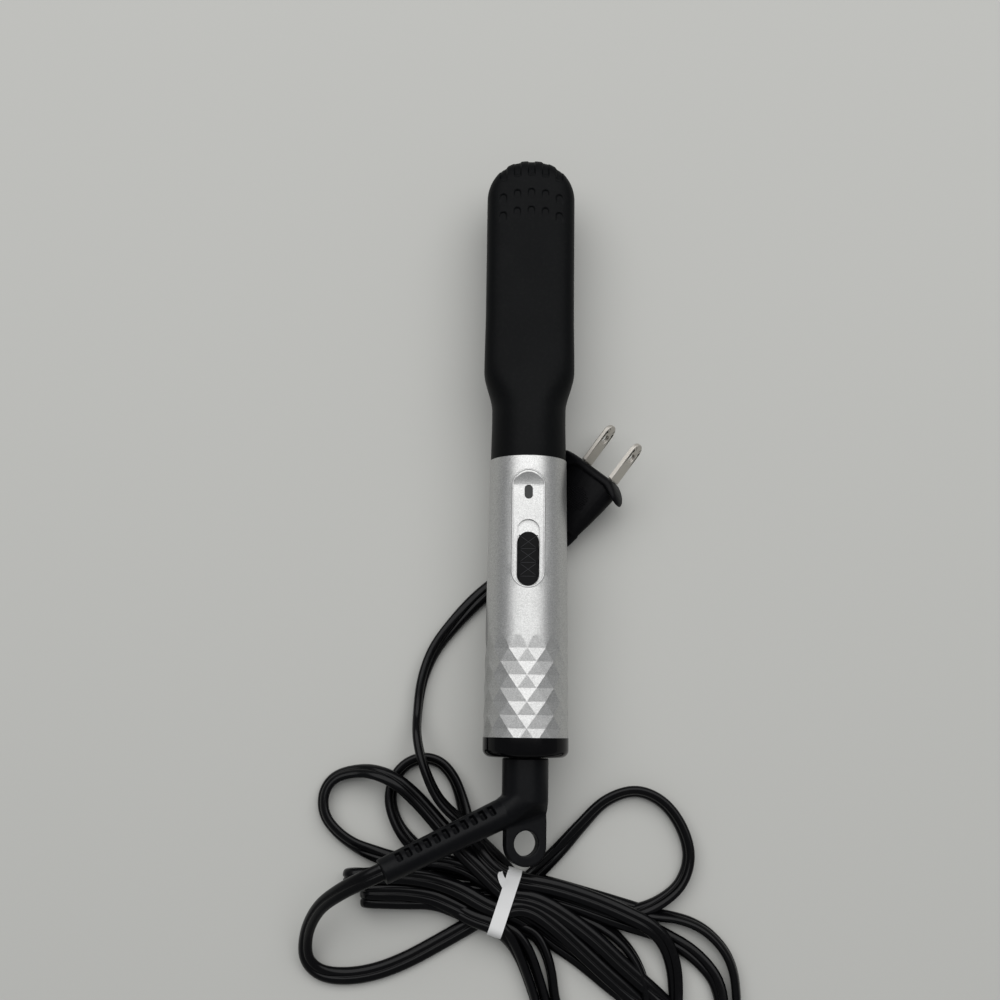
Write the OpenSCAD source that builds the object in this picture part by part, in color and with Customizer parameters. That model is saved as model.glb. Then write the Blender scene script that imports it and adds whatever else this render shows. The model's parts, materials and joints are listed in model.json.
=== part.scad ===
// Corded beard straightener lying on its comb, head towards +Y and switch up, in millimetres.
// X = 0 is the middle plane, Z = 0 the surface, and Y = 0 halfway from the head's tip to the tail cap.

/* [Overall] */
// Length from the tip of the head to the end of the tail cap
body_len = 208.6; // [198:0.2:222]
// Height of the handle's axis above the surface that the teeth stand on
axis_h = 18.5; // [18.1:0.1:21]

/* [Head] */
// Width of the head along its straight sides
head_w = 30.8; // [29.6:0.1:33]
// Width at the shoulder, where the head is widest
shoulder_w = 31.3; // [30:0.1:34]
// Diameter of the neck at its narrowest
neck_d = 25.4; // [24.8:0.1:26.4]
// Diameter of the neck where it meets the sleeve
joint_d = 25.8; // [25.2:0.1:26.6]
// Height of the crowned back above the handle's axis
back_h = 9; // [8:0.1:11]
// Depth of the comb face below the handle's axis
face_h = 6.5; // [5.6:0.1:8]
// Length of the rounded tip
tip_len = 14.3; // [12.6:0.1:16]
// Length of the round neck before it flares into the head
neck_len = 17.5; // [14:0.5:20]
// Length of the flare from the neck to the shoulder
flare_len = 14; // [11:0.5:18]
// Wall of the head's two shells
head_wall = 1.8; // [1.4:0.1:2.2]

/* [Grip dimples] */
// Columns of dimples across the tip
dimple_cols = 5; // [3:2:5]
// Spacing of the columns
dimple_gap = 4.9; // [4.2:0.1:5.4]
// Width of one dimple
dimple_w = 2.3; // [1.6:0.1:2.8]
// Length of one dimple
dimple_len = 3.8; // [2.6:0.1:4.6]
// Depth of one dimple
dimple_depth = 0.5; // [0.3:0.1:0.9]

/* [Comb] */
// Width of the opening in the comb face
window_w = 19.6; // [18.6:0.1:20.6]
// Length of the opening in the comb face
window_len = 64; // [50:1:66]
// Distance from the head's tip to the opening
window_gap = 10.5; // [9.6:0.1:12]
// Distance from one tooth to the next
tooth_pitch = 3.8; // [3.4:0.1:4.6]
// Height of the heated fins
fin_h = 8.6; // [6:0.2:9.6]
// Thickness of a heated fin
fin_t = 1.3; // [1:0.1:1.6]
// Width of a heated fin
fin_w = 3.6; // [3:0.1:4]
// Spacing of the three rows of fins
fin_row_gap = 4.6; // [4.3:0.1:4.8]
// Thickness of a guard tooth
guard_t = 1.6; // [1.2:0.1:2]
// Width of the guard's rail
rail_w = 2.2; // [1.8:0.1:2.4]
// Thickness of the guard's rail
rail_t = 1.4; // [1:0.1:1.8]

/* [Handle sleeve] */
// Length of the silver sleeve
sleeve_len = 93.7; // [90:0.1:98]
// Diameter of the sleeve at the neck
sleeve_front_d = 26.2; // [25.8:0.1:27]
// Diameter of the sleeve at the tail
sleeve_rear_d = 28.7; // [28.2:0.1:29.6]
// Wall of the sleeve's two shells
sleeve_wall = 1.8; // [1.5:0.1:2.1]
// How far the neck's spigot reaches into the sleeve
spigot_len = 7; // [5:0.5:7.5]

/* [Switch panel] */
// Width of the recessed switch panel
panel_w = 10.6; // [10:0.1:11.2]
// Length of the recessed switch panel
panel_len = 39.4; // [39.2:0.1:41]
// Distance from the neck joint to the panel
panel_gap = 4.9; // [4.2:0.1:5.4]
// Height of the panel's floor above the handle's axis
panel_floor = 11.8; // [11.6:0.1:12]
// Length of the ramp that leads down to the floor
ramp_len = 4.8; // [3.6:0.1:5]
// Thickness of the floor
floor_t = 1.2; // [1:0.1:1.4]
// Width of the button's slot
slot_w = 7.6; // [7.2:0.1:8]
// Length of the button's slot
slot_len = 22.4; // [21.6:0.1:22.8]
// Length of the button
button_len = 17.8; // [17:0.1:18]
// How far the button stands above the floor
button_rise = 1.5; // [1:0.1:1.6]
// Width of the lamp window
lamp_w = 2.7; // [2.2:0.1:3.2]
// Length of the lamp window
lamp_len = 4.7; // [4:0.1:5]

/* [Diamond grip] */
// Facets around the sleeve
facets = 14; // [12:2:18]
// Height of one row of facets
facet_row = 4.38; // [3.8:0.02:5]
// Length of the faceted zone
grip_len = 33.6; // [26:0.1:36]

/* [Tail] */
// Length of the tail cap that shows
cap_len = 6.5; // [5.8:0.1:8]
// Diameter of the tail cap
cap_d = 28.8; // [28.4:0.1:29.8]
// Rounding of the cap's rear edge
cap_round = 2.6; // [1.5:0.1:3]
// Thickness of the cap's end wall
cap_wall = 3.4; // [3:0.1:3.8]
// Diameter of the swivel's journal
journal_d = 13.9; // [13:0.1:14.6]

/* [Cord boot] */
// Diameter of the boot's neck
boot_d = 15.5; // [14.8:0.1:16]
// Distance from the cap to the bend of the boot
boot_len = 14.8; // [13:0.1:17]
// Roll of the boot about the handle's axis
boot_roll = 16; // [8:1:22]
// Angle between the strain relief and the handle's axis
relief_angle = 65.4; // [60:0.2:70]
// Length of the strain relief from the bend
relief_len = 52.6; // [48:0.5:56]
// Diameter of the strain relief at the bend
relief_d = 10.3; // [9.8:0.1:11]
// Diameter of the strain relief at its end
relief_end_d = 8.5; // [8.2:0.1:9.6]
// Number of flexing windows in each row
relief_slots = 11; // [8:1:11]
// Width of the hanging tab
tab_w = 14; // [14:0.1:15.2]
// Thickness of the hanging tab
tab_t = 4.4; // [3.6:0.1:5]
// Diameter of the hanging hole
tab_hole_d = 8.4; // [7.6:0.1:9]

/* [Plug] */
// Width of the plug's body at the flange
plug_w = 21.2; // [20:0.2:22]
// Thickness of the plug's body at the flange
plug_t = 10; // [9:0.2:11]
// Length of the plug's body behind the flange
plug_len = 23.4; // [22:0.2:24]
// Width across the flange
flange_w = 26.4; // [25:0.2:27.2]
// Height of the flange
flange_h = 11; // [10.4:0.2:11.4]
// Length of the blades
blade_len = 15.9; // [15:0.1:18]
// Width of a blade
blade_w = 6.3; // [6:0.1:6.5]
// Thickness of a blade
blade_t = 1.5; // [1.4:0.1:1.6]
// Spacing of the blades
blade_gap = 12.7; // [12.5:0.1:12.9]

/* [Cord] */
// Width of the flat twin cord
cord_w = 5.8; // [5.6:0.1:7]
// Thickness of the flat twin cord
cord_t = 3; // [2.8:0.1:3.5]

/* [Hidden] */
$fn = 48;

// Clearance where two rigid pieces seat on each other
fit = 0.1;
// Gap along the seam between two shells
seam_gap = 0.15;
// Clearance between pieces that move on each other
run_gap = 0.2;
// Radial clearance of the swivel's journal in the cap
journal_gap = 0.06;
// How far a cutting body reaches past the face that it cuts
over = 1;
// A size larger than the whole handle, for cutting bodies
big = 300;

// Places along the handle, from the tail to the tip
tip_y = body_len / 2;
tail_y = -body_len / 2;
sleeve_rear_y = tail_y + cap_len;
joint_y = sleeve_rear_y + sleeve_len;
head_len = tip_y - joint_y;
bend_y = tail_y - boot_len;

function mix(a, b, t) = a + (b - a) * t;
function clamp01(t) = max(0, min(1, t));
function smooth(t) = let (u = clamp01(t)) u * u * (3 - 2 * u);
function signed_pow(v, e) = sign(v) * pow(abs(v), e);
function unit(v) = v / norm(v);

module above(z) { translate([-big / 2, -big / 2, z]) cube([big, big, big]); }
module below(z) { translate([-big / 2, -big / 2, z - big]) cube([big, big, big]); }
// Children drawn with their own Z axis along +Y, starting at y on the handle's axis
module on_axis(y) { translate([0, y, axis_h]) rotate([-90, 0, 0]) children(); }
// A stadium in the XY plane, its length along Y
module stadium(w, len) {
    square([w, len - w], center = true);
    for (side = [-1, 1]) translate([0, side * (len - w) / 2]) circle(d = w);
}
// A countersunk screw standing on its head at z = 0, thread up
screw_r = 1.05;
screw_head_r = 2;
screw_head_t = 1.2;
module screw(length) {
    difference() {
        union() {
            cylinder(h = screw_head_t, r1 = screw_head_r, r2 = screw_r, $fn = 24);
            cylinder(h = length, r = screw_r, $fn = 24);
        }
        for (turn = [0, 90]) rotate([0, 0, turn]) translate([-1.1, -0.2, -over]) cube([2.2, 0.4, over + 0.5]);
    }
}

// Triangles that skin a stack of rings with the same number of points, closed by a face at each end
function skin_faces(rings, n) = concat(
    [[for (k = [0 : n - 1]) k]],
    [for (i = [0 : rings - 2], k = [0 : n - 1], half = [0, 1]) let (
        a = i * n + k, b = i * n + (k + 1) % n, c = a + n, d = b + n
    ) half == 0 ? [a, c, b] : [b, c, d]],
    [[for (k = [n - 1 : -1 : 0]) (rings - 1) * n + k]]
);
module skin(rings) {
    n = len(rings[0]);
    polyhedron(points = [for (ring = rings, p = ring) p], faces = skin_faces(len(rings), n), convexity = 8);
}
// A ring of a section carried along a route of [x, y, z, tilt] points, tilt 0 lying flat
function xyz(p) = [p[0], p[1], p[2]];
function route_ring(route, i, section) = let (
    ahead = unit(xyz(route[min(i + 1, len(route) - 1)]) - xyz(route[max(i - 1, 0)])),
    side = unit(cross([0, 0, 1], ahead)),
    up = cross(ahead, side),
    t = route[i][3]
) [for (q = section) xyz(route[i]) + side * (q[0] * cos(t) - q[1] * sin(t)) + up * (q[0] * sin(t) + q[1] * cos(t))];
module tube(route, section) { skin([for (i = [0 : len(route) - 1]) route_ring(route, i, section)]); }

// The head and neck are one loft. s runs from the sleeve joint to the tip.
tip_s = head_len - tip_len;
shoulder_s = neck_len + flare_len;
settle_len = 22;
function half_width(s) =
    s < neck_len ? mix(joint_d, neck_d, smooth(s / (neck_len - 4))) / 2 :
    s < shoulder_s ? mix(neck_d, shoulder_w, smooth((s - neck_len) / flare_len)) / 2 :
    mix(shoulder_w, head_w, smooth((s - shoulder_s) / settle_len)) / 2;
function back_height(s) = mix(half_width(min(s, neck_len)), back_h, smooth((s - neck_len + 6) / (flare_len + 16)));
// The comb face leaves the round neck on the way to the opening, and lies flat just before it
window_rear_s = head_len - window_gap - window_len;
face_leaves = 0.4;
face_settles = 0.98;
function face_depth(s) = mix(half_width(min(s, neck_len)), face_h,
    smooth((s / window_rear_s - face_leaves) / (face_settles - face_leaves)));
// 2 gives a circle, and more gives a boxier section with rounded edges
function boxiness(s) = mix(2, 3.3, smooth((s - neck_len) / (flare_len + 6)));
half_sides = 14;
function head_arc(s, y, w, h, side) = let (e = 2 / boxiness(s)) [
    for (k = [0 : half_sides]) let (a = k * 180 / half_sides) [
        w * signed_pow(cos(a), e), y, axis_h + side * max(side > 0 ? 0 : seam_gap, h * signed_pow(sin(a), e))
    ]
];
body_stops = [
    0, neck_len * 0.4, neck_len * 0.8, neck_len + flare_len * 0.2, neck_len + flare_len * 0.4,
    neck_len + flare_len * 0.6, neck_len + flare_len * 0.8, shoulder_s, shoulder_s + 8,
    shoulder_s + settle_len, tip_s
];
tip_stops = [22, 41, 57, 70, 80, 87];
function tip_shape(a) = pow(1 - pow(sin(a), 3), 1 / 3);
// One skin of the head, outer at inset 0, as arcs from the joint to the tip
function head_arcs(side, inset) = concat(
    [for (s = body_stops) head_arc(s, joint_y + s, half_width(s) - inset,
        (side > 0 ? back_height(s) : face_depth(s)) - inset, side)],
    [for (a = tip_stops) head_arc(tip_s, joint_y + tip_s + (tip_len - inset) * sin(a), (head_w / 2 - inset) * cos(a),
        ((side > 0 ? back_h : face_h) - inset) * tip_shape(a), side)]
);
// Upper or lower half shell: each ring is the outer arc followed by the inner arc turned round
module half_shell(side) {
    outer = head_arcs(side, 0);
    inner = head_arcs(side, head_wall);
    n = half_sides + 1;
    m = 2 * n;
    last = len(outer) - 1;
    end = last * m;
    points = [for (i = [0 : last]) each concat(outer[i], [for (k = [n - 1 : -1 : 0]) inner[i][k]])];
    faces = concat(
        [for (k = [0 : n - 2]) [k, k + 1, m - 2 - k, m - 1 - k]],
        [for (i = [0 : last - 1], k = [0 : m - 1], half = [0, 1]) let (
            a = i * m + k, b = i * m + (k + 1) % m, c = a + m, d = b + m
        ) half == 0 ? [a, c, b] : [b, c, d]],
        [[for (k = [n - 1 : -1 : 0]) end + k], [for (k = [m - 1 : -1 : n]) end + k], [end, end + n - 1, end + n, end + m - 1]]
    );
    polyhedron(points = points, faces = faces, convexity = 8);
}
// The neck's spigot, which the two sleeve shells close around
spigot_r = sleeve_front_d / 2 - sleeve_wall - fit;
spigot_wall = 1.5;
spigot_root = 4;
module half_spigot(side) {
    difference() {
        union() {
            on_axis(joint_y - spigot_len) cylinder(h = spigot_len + spigot_root, r = spigot_r);
            on_axis(joint_y) cylinder(h = spigot_root, r = joint_d / 2 - 0.6);
        }
        on_axis(joint_y - spigot_len - over)
            cylinder(h = spigot_len + spigot_root + 2 * over, r = spigot_r - spigot_wall);
        if (side > 0) below(seam_z);
        else above(seam_z - seam_gap);
    }
}

// Screws that hold the head's shells together: one at the tip and two at the shoulder
boss_r = 2.6;
boss_tip_y = tip_y - window_gap + 3.4;
boss_neck_y = tip_y - window_gap - window_len - 5.5;
boss_neck_x = 8;
head_bosses = [[0, boss_tip_y], [-boss_neck_x, boss_neck_y], [boss_neck_x, boss_neck_y]];
pilot_r = screw_r + 0.02;
pilot_len = 5;
face_z = axis_h - face_h;
seam_z = axis_h;

dimple_rows = 3;
dimple_row_gap = 6.2;
first_dimple_y = tip_y - 9;
module dimples() {
    for (col = [-(dimple_cols - 1) / 2 : (dimple_cols - 1) / 2], row = [0 : dimple_rows - 1]) {
        drop = 0.5 * col * col;
        top_z = axis_h + back_h - 0.1 * col * col;
        if (row == 0) {
            reach = tip_len * (1 - sqrt(1 - pow(col * dimple_gap / (head_w / 2), 2)));
            translate([col * dimple_gap, tip_y - reach + dimple_depth, axis_h])
                cylinder(h = back_h + over, d = dimple_w, $fn = 16);
        } else {
            translate([col * dimple_gap, first_dimple_y - (row - 1) * dimple_row_gap - drop, top_z - dimple_depth])
                linear_extrude(height = 3) {
                    circle(d = dimple_w, $fn = 16);
                    translate([-dimple_w / 2, -dimple_len + dimple_w / 2]) square([dimple_w, dimple_len - dimple_w / 2]);
                }
        }
    }
}
module head_cover() {
    color([0.06, 0.06, 0.065]) difference() {
        union() {
            half_shell(1);
            half_spigot(1);
            for (at = head_bosses) translate([at.x, at.y, seam_z]) cylinder(h = back_h - 2, r = boss_r, $fn = 24);
        }
        dimples();
        for (at = head_bosses) translate([at.x, at.y, seam_z - over]) cylinder(h = pilot_len + over, r = pilot_r, $fn = 24);
    }
}

// The comb face: an opening with a flat ledge around it that carries the heater plate
window_y = tip_y - window_gap - window_len / 2;
ledge_w = 2.2;
ledge_z = face_z + 1.1;
seat_z = face_z + 2.2;
module window_prism(grow, z0, z1) {
    translate([0, window_y, z0]) linear_extrude(height = z1 - z0) stadium(window_w + 2 * grow, window_len + 2 * grow);
}
module head_frame() {
    color([0.07, 0.07, 0.075]) difference() {
        union() {
            half_shell(-1);
            half_spigot(-1);
            window_prism(ledge_w, ledge_z, seat_z);
            for (at = head_bosses) translate([at.x, at.y, ledge_z])
                cylinder(h = seam_z - seam_gap - ledge_z, r = boss_r, $fn = 24);
        }
        window_prism(0, face_z - over, seat_z + over);
        // Recess that the plate's flange drops into
        window_prism(plate_flange + plate_fit, seat_z, plate_top + plate_fit);
        for (at = head_bosses) translate([at.x, at.y, face_z - 3]) {
            cylinder(h = face_h + 4, r = screw_r + fit, $fn = 24);
            cylinder(h = 3 + screw_sink + screw_head_t, r = screw_head_r + 2 * fit, $fn = 24);
        }
    }
}
screw_sink = 0.6;
head_screw_len = face_h - screw_sink + pilot_len - 0.5;
module head_screws() {
    color([0.55, 0.55, 0.57]) for (at = head_bosses)
        translate([at.x, at.y, face_z + screw_sink]) screw(head_screw_len);
}

// The heater plate fills the opening, and its flange lies on the ledge inside
plate_fit = 0.2;
plate_flange = 2;
plate_flange_t = 1.4;
plate_top = seat_z + plate_flange_t;
fin_foot = 0.4;
function fin_count(row) = floor((window_len - 2 * rail_w - (row == 0 ? 6 : window_w * 0.5)) / tooth_pitch / 2);
module heater_plate() {
    color([0.72, 0.72, 0.74]) difference() {
        union() {
            window_prism(-plate_fit, face_z, seat_z + 0.01);
            window_prism(plate_flange, seat_z, plate_top);
            for (row = [-1 : 1], i = [-fin_count(row) : fin_count(row)])
                translate([row * fin_row_gap, window_y + i * tooth_pitch, 0]) fin();
        }
        for (side = [-1, 1]) translate([0, window_y + side * clamp_screw_y, face_z + 0.8])
            cylinder(h = plate_top, r = pilot_r);
    }
}
// One heated fin: a flat blade across the head, narrower at its rounded tip
module fin() {
    tip_w = fin_w * 0.55;
    translate([0, fin_t / 2, face_z + fin_foot]) rotate([90, 0, 0]) linear_extrude(height = fin_t) {
        polygon([[-fin_w / 2, 0], [fin_w / 2, 0], [fin_w / 2, -fin_h * 0.5], [tip_w / 2, -fin_h],
            [-tip_w / 2, -fin_h], [-fin_w / 2, -fin_h * 0.5]]);
    }
}

// The cool guard: a rail around the fins with longer teeth that keep the skin off the hot plate
rail_mid = (window_w - 2 * plate_fit - rail_w) / 2;
guard_h = face_z - rail_t;
guard_count = floor((window_len - window_w) / tooth_pitch / 2);
end_teeth = [-54, -18, 18, 54];
module guard_tooth() {
    tip_r = guard_t * 0.42;
    translate([0, 0, guard_h + 0.2]) mirror([0, 0, 1])
        cylinder(h = guard_h + 0.2 - tip_r, r1 = guard_t * 0.66, r2 = tip_r, $fn = 16);
    translate([0, 0, tip_r]) sphere(r = tip_r, $fn = 16);
}
module comb_guard() {
    color([0.05, 0.05, 0.055]) {
        difference() {
            window_prism(-plate_fit, face_z - rail_t, face_z);
            window_prism(-plate_fit - rail_w, face_z - rail_t - over, face_z + over);
        }
        for (side = [-1, 1], i = [-guard_count : guard_count])
            translate([side * rail_mid, window_y + i * tooth_pitch, 0]) guard_tooth();
        for (side = [-1, 1], a = end_teeth)
            translate([rail_mid * sin(a), window_y + side * ((window_len - window_w) / 2 + rail_mid * cos(a)), 0])
                guard_tooth();
    }
}

// The heater stack on the plate's inner face: insulator, ceramic element and spring clamp
element_w = 10;
element_len = window_len - 18;
element_t = 2.2;
pad_t = 0.4;
clamp_t = 0.8;
clamp_screw_y = window_len / 2 - 3.5;
element_z = plate_top;
pad_z = element_z + element_t;
clamp_z = pad_z + pad_t;
module heater_element() {
    color([0.82, 0.8, 0.74]) translate([-element_w / 2, window_y - element_len / 2, element_z])
        cube([element_w, element_len, element_t]);
}
module insulator_pad() {
    color([0.75, 0.55, 0.25]) translate([-element_w / 2 - 0.6, window_y - element_len / 2 - 0.6, pad_z])
        cube([element_w + 1.2, element_len + 1.2, pad_t]);
}
clamp_foot = 4.5;
clamp_side = 1.7;
clamp_end = 2.6;
clamp_lift = 1.4;
module heater_clamp() {
    foot = clamp_foot;
    width = element_w - 2 * clamp_side;
    end_y = clamp_screw_y + clamp_end;
    color([0.6, 0.6, 0.62]) difference() {
        translate([width / 2, window_y, 0]) rotate([90, 0, -90]) linear_extrude(height = width)
            polygon([
                [-end_y, plate_top], [-end_y + foot, plate_top], [-element_len / 2 - clamp_lift, clamp_z],
                [element_len / 2 + clamp_lift, clamp_z], [end_y - foot, plate_top], [end_y, plate_top],
                [end_y, plate_top + clamp_t], [end_y - foot - 0.4, plate_top + clamp_t],
                [element_len / 2 + 1, clamp_z + clamp_t], [-element_len / 2 - 1, clamp_z + clamp_t],
                [-end_y + foot + 0.4, plate_top + clamp_t], [-end_y, plate_top + clamp_t]
            ]);
        for (side = [-1, 1]) translate([0, window_y + side * clamp_screw_y, plate_top - over])
            cylinder(h = 3, r = screw_r + fit);
    }
}
clamp_screw_len = 3.6;
module clamp_screws() {
    color([0.55, 0.55, 0.57]) for (side = [-1, 1])
        translate([0, window_y + side * clamp_screw_y, plate_top + clamp_t + screw_head_t])
            mirror([0, 0, 1]) screw(clamp_screw_len);
}
cutout_d = 8;
cutout_t = 3;
module thermal_cutout() {
    color([0.78, 0.78, 0.8]) translate([0, window_y + 8, clamp_z + clamp_t]) {
        cylinder(h = cutout_t, d = cutout_d);
        for (side = [-1, 1]) translate([side * 2.4 - 0.6, -cutout_d / 2 - 3, cutout_t - 0.8]) cube([1.2, 4, 0.4]);
    }
}
sensor_r = 1;
sensor_len = 5;
sensor_x = element_w / 2 + sensor_r + 0.6;
module thermistor() {
    color([0.15, 0.35, 0.2]) translate([sensor_x, window_y - element_len / 4, plate_top + sensor_r])
        rotate([90, 0, 0]) cylinder(h = sensor_len, r = sensor_r, $fn = 24);
}

// The sleeve: a slightly tapered tube in two half shells, faceted into diamonds at the tail
function sleeve_r(y) = mix(sleeve_front_d, sleeve_rear_d, clamp01((joint_y - y) / sleeve_len)) / 2;
grip_y = sleeve_rear_y + grip_len;
facet_rows = ceil(grip_len / facet_row);
grip_step = 0.04;
module faceted_grip() {
    skin([for (row = [0 : facet_rows]) let (
        y = grip_y - row * facet_row, r = sleeve_r(y) - (row == 0 ? grip_step : 0), turn = row % 2 == 0 ? 180 / facets : 0
    ) [for (k = [0 : facets - 1]) let (a = 90 + turn + k * 360 / facets) [r * cos(a), y, axis_h + r * sin(a)]]]);
}
module sleeve_solid() {
    on_axis(grip_y) cylinder(h = joint_y - grip_y, r1 = sleeve_r(grip_y), r2 = sleeve_r(joint_y), $fn = 96);
    intersection() {
        faceted_grip();
        translate([-big / 2, sleeve_rear_y, -big / 2]) cube([big, big, big]);
    }
}
module sleeve_bore() {
    on_axis(sleeve_rear_y - over) cylinder(h = sleeve_len + 2 * over, r1 = sleeve_rear_d / 2 - sleeve_wall,
        r2 = sleeve_front_d / 2 - sleeve_wall, $fn = 96);
}

// Switch panel: a recess with a ramp, and a channel below its floor for the button's carriage
panel_top_y = joint_y - panel_gap;
panel_end_y = panel_top_y - panel_len;
floor_z = axis_h + panel_floor;
under_z = floor_z - floor_t;
slot_rim = 0.4;
slot_mid_y = panel_end_y + slot_rim + slot_len / 2;
slot_rear_y = slot_mid_y - slot_len / 2;
slot_front_y = slot_mid_y + slot_len / 2;
button_gap = 0.15;
travel = slot_len - button_len - 2 * button_gap;
lamp_y = panel_top_y - ramp_len - lamp_len / 2 - 0.2;
carriage_t = 1;
carriage_w = 9.6;
carriage_overlap = 0.7;
carriage_rear_y = slot_rear_y - carriage_overlap - travel;
carriage_front_y = slot_front_y + carriage_overlap;
channel_z = under_z - carriage_t - run_gap;
channel_rear_y = carriage_rear_y - run_gap;
channel_front_y = carriage_front_y + travel + run_gap;
pad_half_w = carriage_w / 2 + 1.4;
hook_t = 0.9;
hook_reach = 0.9;
pad_front_y = panel_top_y - ramp_len + 1;
pad_rear_y = channel_rear_y - 1.2;
ramp_rise = 1.6;
module panel_recess() {
    intersection() {
        translate([0, (panel_top_y + panel_end_y) / 2, floor_z]) linear_extrude(height = 6) stadium(panel_w, panel_len);
        translate([-panel_w, 0, 0]) rotate([90, 0, 90]) linear_extrude(height = 2 * panel_w)
            polygon([[panel_end_y - over, floor_z], [panel_top_y - ramp_len, floor_z],
                [panel_top_y + 0.4, floor_z + ramp_rise + 0.15], [panel_top_y + 0.4, floor_z + 8],
                [panel_end_y - over, floor_z + 8]]);
    }
}
module sleeve_top() {
    color([0.78, 0.79, 0.8]) difference() {
        union() {
            difference() {
                sleeve_solid();
                sleeve_bore();
            }
            intersection() {
                sleeve_solid();
                translate([-pad_half_w, pad_rear_y, channel_z - hook_t])
                    cube([2 * pad_half_w, pad_front_y - pad_rear_y, big]);
            }
            intersection() {
                sleeve_solid();
                for (side = [-1, 1]) translate([side * sleeve_screw_x, sleeve_screw_y, seam_z])
                    cylinder(h = big, r = boss_r);
            }
        }
        below(seam_z);
        panel_recess();
        // The carriage's channel, open downwards between its two hooks
        translate([-carriage_w / 2 - fit, channel_rear_y, channel_z])
            cube([carriage_w + 2 * fit, channel_front_y - channel_rear_y, under_z - channel_z]);
        translate([-carriage_w / 2 + hook_reach, channel_rear_y, 0])
            cube([carriage_w - 2 * hook_reach, channel_front_y - channel_rear_y, channel_z + over / 2]);
        translate([0, slot_mid_y, 0]) linear_extrude(height = big) stadium(slot_w, slot_len);
        // The lamp window and the pocket of the lens below it
        translate([0, lamp_y, 0]) linear_extrude(height = big) stadium(lamp_w + fit, lamp_len + fit);
        translate([-lens_foot_w / 2 - fit, lamp_y - lens_foot_len / 2 - fit, 0])
            cube([lens_foot_w + 2 * fit, lens_foot_len + 2 * fit, under_z]);
        for (side = [-1, 1]) translate([side * sleeve_screw_x, sleeve_screw_y, seam_z - over])
            cylinder(h = pilot_len + over, r = pilot_r);
        translate([-big / 2, sleeve_rear_y - big, -big / 2]) cube([big, big, big]);
    }
}

// Lower half shell, with ribs that carry the circuit board and two screws that hold the halves together
sleeve_screw_x = 6.6;
sleeve_screw_y = pad_rear_y - boss_r - 2;
sleeve_screw_z = axis_h - sqrt(pow(sleeve_r(sleeve_screw_y), 2) - pow(sleeve_screw_x + boss_r, 2));
board_w = 17;
board_t = 1.6;
board_z = axis_h + 1.4;
board_front_y = lamp_y + 6;
board_rear_y = pad_rear_y;
rib_t = 1.6;
rib_gap = 5;
// Each screw stands on a rib, the front one beside the lamp's diode
board_screw_x = 5;
rib_places = [[board_screw_x, board_front_y - rib_gap - 0.8], [0, board_rear_y + rib_gap]];
module sleeve_bottom() {
    color([0.77, 0.78, 0.79]) difference() {
        union() {
            difference() {
                sleeve_solid();
                sleeve_bore();
                above(seam_z - seam_gap);
            }
            intersection() {
                sleeve_solid();
                union() {
                    for (at = rib_places) translate([-board_w / 2, at.y - rib_t / 2, 0])
                        cube([board_w, rib_t, board_z]);
                    for (at = rib_places) translate([at.x, at.y, 0]) cylinder(h = board_z, r = 2.4);
                    for (side = [-1, 1]) translate([side * sleeve_screw_x, sleeve_screw_y, 0])
                        cylinder(h = seam_z - seam_gap, r = boss_r);
                }
            }
        }
        for (side = [-1, 1]) translate([side * sleeve_screw_x, sleeve_screw_y, 0]) {
            cylinder(h = big, r = screw_r + fit);
            cylinder(h = sleeve_screw_z + screw_sink + screw_head_t, r = screw_head_r + 2 * fit);
        }
        for (at = rib_places) translate([at.x, at.y, board_z - 4]) cylinder(h = 8, r = pilot_r);
        translate([-big / 2, sleeve_rear_y - big, -big / 2]) cube([big, big, big]);
    }
}
module sleeve_screws() {
    color([0.55, 0.55, 0.57]) for (side = [-1, 1])
        translate([side * sleeve_screw_x, sleeve_screw_y, sleeve_screw_z + screw_sink])
            screw(seam_z - sleeve_screw_z - screw_sink + pilot_len - 0.5);
}
module circuit_board() {
    color([0.12, 0.4, 0.2]) difference() {
        translate([-board_w / 2, board_rear_y, board_z]) cube([board_w, board_front_y - board_rear_y, board_t]);
        for (at = rib_places) translate([at.x, at.y, board_z - over]) cylinder(h = 4, r = screw_r + fit);
    }
}
module board_screws() {
    color([0.6, 0.58, 0.5]) for (at = rib_places) translate([at.x, at.y, board_z + board_t + screw_head_t])
        mirror([0, 0, 1]) screw(screw_head_t + board_t + 3);
}

// Lamp: a light pipe that fills the window, and the diode below it
lens_foot_w = 4.4;
lens_foot_len = lamp_len + 1.4;
lens_foot_t = 0.9;
led_d = 3;
led_h = 4.6;
board_top = board_z + board_t;
module lamp_lens() {
    color([0.2, 0.2, 0.21]) {
        translate([0, lamp_y, under_z - lens_foot_t]) linear_extrude(height = floor_t + lens_foot_t - 0.05)
            stadium(lamp_w - fit, lamp_len - fit);
        translate([-lens_foot_w / 2, lamp_y - lens_foot_len / 2, under_z - lens_foot_t])
            cube([lens_foot_w, lens_foot_len, lens_foot_t]);
        translate([0, lamp_y, board_top + led_h + run_gap])
            cylinder(h = under_z - lens_foot_t / 2 - board_top - led_h - run_gap, d = lamp_w - fit, $fn = 24);
    }
}
module indicator_led() {
    color([0.8, 0.15, 0.12]) translate([0, lamp_y, board_top]) {
        cylinder(h = 1, d = led_d + 0.8, $fn = 24);
        cylinder(h = led_h - led_d / 2, d = led_d, $fn = 24);
        translate([0, 0, led_h - led_d / 2]) sphere(d = led_d, $fn = 24);
    }
}

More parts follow.
